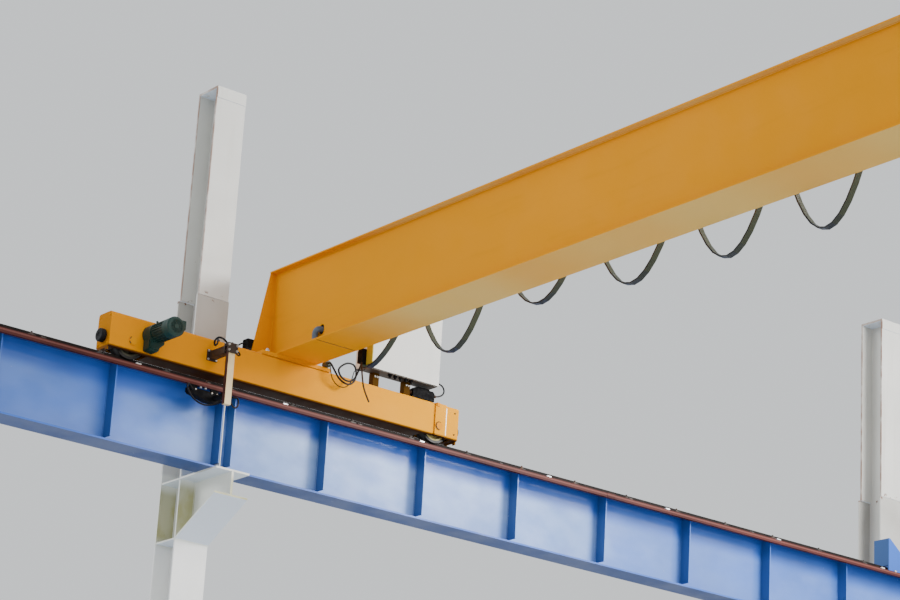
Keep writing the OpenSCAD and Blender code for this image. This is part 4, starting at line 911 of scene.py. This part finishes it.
def cabinet_details():
    """Lock, louvres and glands of the control cabinet, and the bolts of its posts."""
    lock, louvres, bolts = Shapes(), Shapes(), Shapes()
    foot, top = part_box("control_cabinet")
    lock.block((foot.x + 0.035, foot.y, foot.z + 0.33), (foot.x + 0.065, foot.y - 0.01, foot.z + 0.43))
    lock.turned((foot.x + 0.05, foot.y - 0.01, foot.z + 0.38), SOUTH,
                [(0, 0.013), (0.012, 0.012), (0.014, 0.0)], 16)
    for z, k in product((foot.z + 0.12, top.z - 0.12), range(3)):
        y = foot.y + 0.06 + 0.022 * k
        louvres.block((top.x - 0.001, y, z - 0.035), (top.x + 0.0008, y + 0.008, z + 0.035))
        louvres.block((foot.x - 0.0008, y, z - 0.035), (foot.x + 0.001, y + 0.008, z + 0.035))
    for k in range(5):
        place = (foot.x + 0.28 + 0.055 * k, RAIL_Y - 0.125, foot.z + 0.001)
        louvres.turned(place, (0, 0, -1),
                       [(0, 0.018), (0.012, 0.018), (0.014, 0.012), (0.028, 0.011), (0.028, 0)], 12)
    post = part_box("cabinet_posts")
    for x, dx in product((post[0].x + 0.03, post[1].x - 0.03), (-0.012, 0.012)):
        bolts.bolt((x + dx, post[0].y, foot.z - 0.03), SOUTH, 0.01)
    lock.piece("cabinet_lock", "bridge", "galvanised", "zinc", bevel=0.001)
    louvres.piece("cabinet_louvres", "bridge", "black_plastic")
    bolts.piece("cabinet_bolts", "bridge", "galvanised", "zinc")


def hole_liner():
    """A rubber liner inside the web, behind the hole of the cable elbow."""
    shapes = Shapes()
    near, far = WEB_NEAR + 0.007, WEB_NEAR + 0.012
    y, z, radius, half_straight = RAIL_Y - 0.628, GIRDER_FOOT + 0.095, 0.045, 0.012
    outline = []
    for k in range(24):
        a = math.tau * k / 24
        rise = half_straight if math.sin(a) > 0 else -half_straight
        outline.append((y + radius * math.cos(a), z + rise + radius * math.sin(a)))
    shapes.skin([[(near, y, z)], [(near, *p) for p in outline], [(far, *p) for p in outline], [(far, y, z)]])
    shapes.piece("hole_liner", "bridge", "black_plastic")


def hood_glands():
    """The glands on both ends of the connector box, where its leads enter."""
    shapes = Shapes()
    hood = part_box("connector_box")
    shapes.turned((hood[1].x, RAIL_Y - 0.06, CARRIAGE_TOP + 0.060), (1, 0, 0),
                  [(0, 0), (0, 0.018), (0.014, 0.018), (0.014, 0.014), (0.034, 0.012), (0.034, 0.007)], 6)
    shapes.turned((hood[0].x + 0.004, RAIL_Y - 0.055, CARRIAGE_TOP + 0.04), (-1, 0, 0),
                  [(0, 0), (0, 0.02), (0.02, 0.02), (0.024, 0.014), (0.04, 0.014), (0.04, 0)], 12)
    shapes.piece("hood_glands", "bridge", "black_plastic", "brown_lead")


def festoon_details():
    """Bolts of the track brackets, and the screws and bumpers of the carriers."""
    bolts, bumpers = Shapes(), Shapes()
    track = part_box("festoon_track")
    bracket_foot = low("festoon_brackets").z
    clamp_z = track[1].z - 0.072
    for y in steps(track[0].y + 0.12, track[1].y, 2.0):
        for z in (0.045, 0.075):
            bolts.bolt((WEB_FAR + 0.008, y, track[1].z + z), (1, 0, 0), 0.012)
        bolts.bolt((TRACK_X, y, bracket_foot + 0.008), UP, 0.012, 0.01)
    y = RAIL_Y - FIRST_CARRIER_IN
    for gap in (0, *CARRIER_SPACING):
        y -= gap
        for dx, dy in product((-0.026, 0.026), (-0.018, 0.018)):
            bolts.bolt((TRACK_X + dx, y + dy, clamp_z), UP, 0.006)
        bumpers.turned((TRACK_X, y - 0.012, track[0].z - 0.012), (0, 1, 0),
                       [(0, 0), (0, 0.008), (0.024, 0.008), (0.024, 0)], 12)
    bolts.piece("festoon_bolts", "bridge", "galvanised", "zinc")
    bumpers.piece("carrier_bumpers", "bridge", "rubber")


# Hoist

def motor_fins():
    """Cooling fins along the hoist motor, and the cowl of its fan."""
    fins = Shapes()
    near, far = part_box("hoist_motor")
    axis_z = (near.z + far.z) / 2
    radius = (far.x - near.x) / 2
    count, half_t, fin_h, fin_l = 30, 0.0015, 0.014, 0.19
    fins.turned((GIRDER_X, far.y - 0.07, axis_z), (0, 1, 0),
                [(0, radius - 0.01), (0, radius + 0.008), (0.055, radius + 0.008), (0.069, radius - 0.02),
                 (0.069, 0)], 40)
    for k in range(count):
        a = math.tau * k / count
        side = Vector((math.cos(a), 0, math.sin(a)))
        across = Vector((-math.sin(a), 0, math.cos(a))) * half_t
        start = Vector((GIRDER_X, near.y + 0.03, axis_z)) + side * (radius - 0.002)
        end = start + Vector((0, fin_l, 0))
        tip = side * fin_h
        fins.skin([[start - across, start + across, start + across + tip, start - across + tip],
                   [end - across, end + across, end + across + tip, end - across + tip]])
    fins.piece("hoist_motor_fins", "bridge", "drive_teal")


def hoist_bolts(centre_y, sheave_z):
    """Cover bolts of the gearbox, the trolley wheels' bearings, and the nuts of the sheave's axle."""
    bolts = Shapes()
    gear_y, motor_z, drum_y = low("hoist_gearbox").y, middle("hoist_motor").z, middle("hoist_drum").y
    wheel_z, bearing_r = GIRDER_FOOT + 0.0723, 0.03
    for dx, dz in product((-0.11, 0.11), (-0.11, 0.11)):
        bolts.bolt((GIRDER_X + dx, gear_y, motor_z + dz), SOUTH, 0.012)
    for (x, facing), y, k in product(((low("trolley_frames").x, -1), (GIRDER_X + 0.24, 1)),
                                     (drum_y - 0.35, drum_y + 0.35), range(3)):
        a = math.tau * k / 3
        place = (x, y + bearing_r * math.cos(a), wheel_z + bearing_r * math.sin(a))
        bolts.bolt(place, (facing, 0, 0), 0.008)
    for face in (-1, 1):
        bolts.bolt((GIRDER_X, centre_y + face * 0.03, sheave_z), (0, face, 0), 0.03, 0.01)
    bolts.piece("hoist_bolts", "bridge", "galvanised", "zinc")


def hoist_details():
    """Fins, bolts, rope turns and sheave rims of the hoist."""
    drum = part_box("hoist_drum")
    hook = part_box("hook_block")
    ropes, rims = Shapes(), Shapes()
    centre_y = (hook[0].y + hook[1].y) / 2
    sheave_z = hook[1].z - 0.14
    turns, points, lay_r, groove_pitch, rope_r = 14, 24, 0.126, 0.026, 0.006
    first_y, last_y = centre_y - 0.013, drum[0].y + 0.05
    axis_z = (drum[0].z + drum[1].z) / 2
    wound = [polar((GIRDER_X, first_y - groove_pitch * k / points, axis_z), lay_r, math.tau * k / points)
             for k in range(turns * points + 1)]
    ropes.tube([p for p in wound if p[1] > last_y], rope_r, 6)
    for y in (-0.0215, 0.0165):
        rims.turned((GIRDER_X, centre_y + y, sheave_z), (0, 1, 0),
                    [(0, 0.128), (0, 0.146), (0.005, 0.146), (0.005, 0.128)], 48)
    motor_fins()
    hoist_bolts(centre_y, sheave_z)
    ropes.piece("drum_rope", "bridge", "wire_rope")
    rims.piece("sheave_rims", "bridge", "wheel_yellow")


# Loose lead

# The route of the part's source, in millimetres from the carriage's middle and top
LEAD_ROUTE = ((312, -605, -38), (312, -606, -60), (312, -612, -100), (312, -622, -150), (316, -630, -200),
              (328, -632, -250), (352, -632, -300), (390, -632, -360))
LEAD_RADIUS = 0.007


def smooth_path(points):
    """A smooth curve through the points, with three steps between each two."""
    points = [Vector(p) for p in points]
    path = []
    for i in range(len(points) - 1):
        a, b, c, d = (points[max(i - 1, 0)], points[i], points[i + 1], points[min(i + 2, len(points) - 1)])
        for t in (0, 1 / 3, 2 / 3):
            path.append(0.5 * (2 * b + (c - a) * t + (2 * a - 5 * b + 4 * c - d) * t * t
                               + (3 * b - a - 3 * c + d) * t ** 3))
    return path + [points[-1]]


def loose_lead():
    """A lead that hangs from the cable clamp and ends bare."""
    origin = Vector((CRANE_X, RAIL_Y, CARRIAGE_TOP))
    path = [origin + Vector(p) / 1000 for p in smooth_path(LEAD_ROUTE)]
    lead = Shapes()
    lead.tube(path, LEAD_RADIUS, 12)
    cord = lead.piece("loose_lead_cord", "bridge", "cable_black", "brown_lead")
    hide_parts("loose_lead")


# Stage and light

FLOOR_HALF = 60


def add_floor():
    mesh = bpy.data.meshes.new("floor")
    corners = [(x * FLOOR_HALF, y * FLOOR_HALF, 0) for x, y in ((-1, -1), (1, -1), (1, 1), (-1, 1))]
    mesh.from_pydata(corners, [], [(0, 1, 2, 3)])
    mesh.materials.append(MATERIALS["pale_floor"])
    new_object("floor", mesh)


def area_light(name, place, aim, size, power, colour=(1, 1, 1)):
    data = bpy.data.lights.new(name, "AREA")
    data.shape = "RECTANGLE"
    data.size, data.size_y = size
    data.energy = power
    data.color = colour
    light = new_object(name, data)
    light.location = place
    light.rotation_euler = (Vector(aim) - Vector(place)).to_track_quat("-Z", "Y").to_euler()


def add_light():
    """A bright grey sky, and lamps from the south, the east, over the crane and from behind."""
    world = bpy.data.worlds.new("world")
    bpy.context.scene.world = world
    world.use_nodes = True
    background = world.node_tree.nodes["Background"]
    background.inputs["Color"].default_value = (0.8, 0.83, 0.85, 1)
    background.inputs["Strength"].default_value = 1.07
    area_light("key", (4, -22, 26), (0, 6, 8), (16, 12), 3200, (1.0, 0.98, 0.94))
    area_light("window", (26, -28, 17), (0, 8, 7.5), (22, 12), 8000)
    area_light("lamp", (7, 2, 11), (2, RAIL_Y, 8), (2.5, 2.5), 750, (1.0, 0.97, 0.93))
    area_light("back", (-24, 24, 20), (0, 4, 8), (14, 10), 3500, (0.95, 0.98, 1.0))


add_camera()
dress_nodes()
loose_lead()
runway_welds()
rail_clips()
runway_bolts()
line_joints()
column_details()
girder_welds()
saddle_bolts()
carriage_details()
drive_details()
collector_details()
cabinet_details()
hole_liner()
hood_glands()
festoon_details()
hoist_details()
add_floor()
add_light()
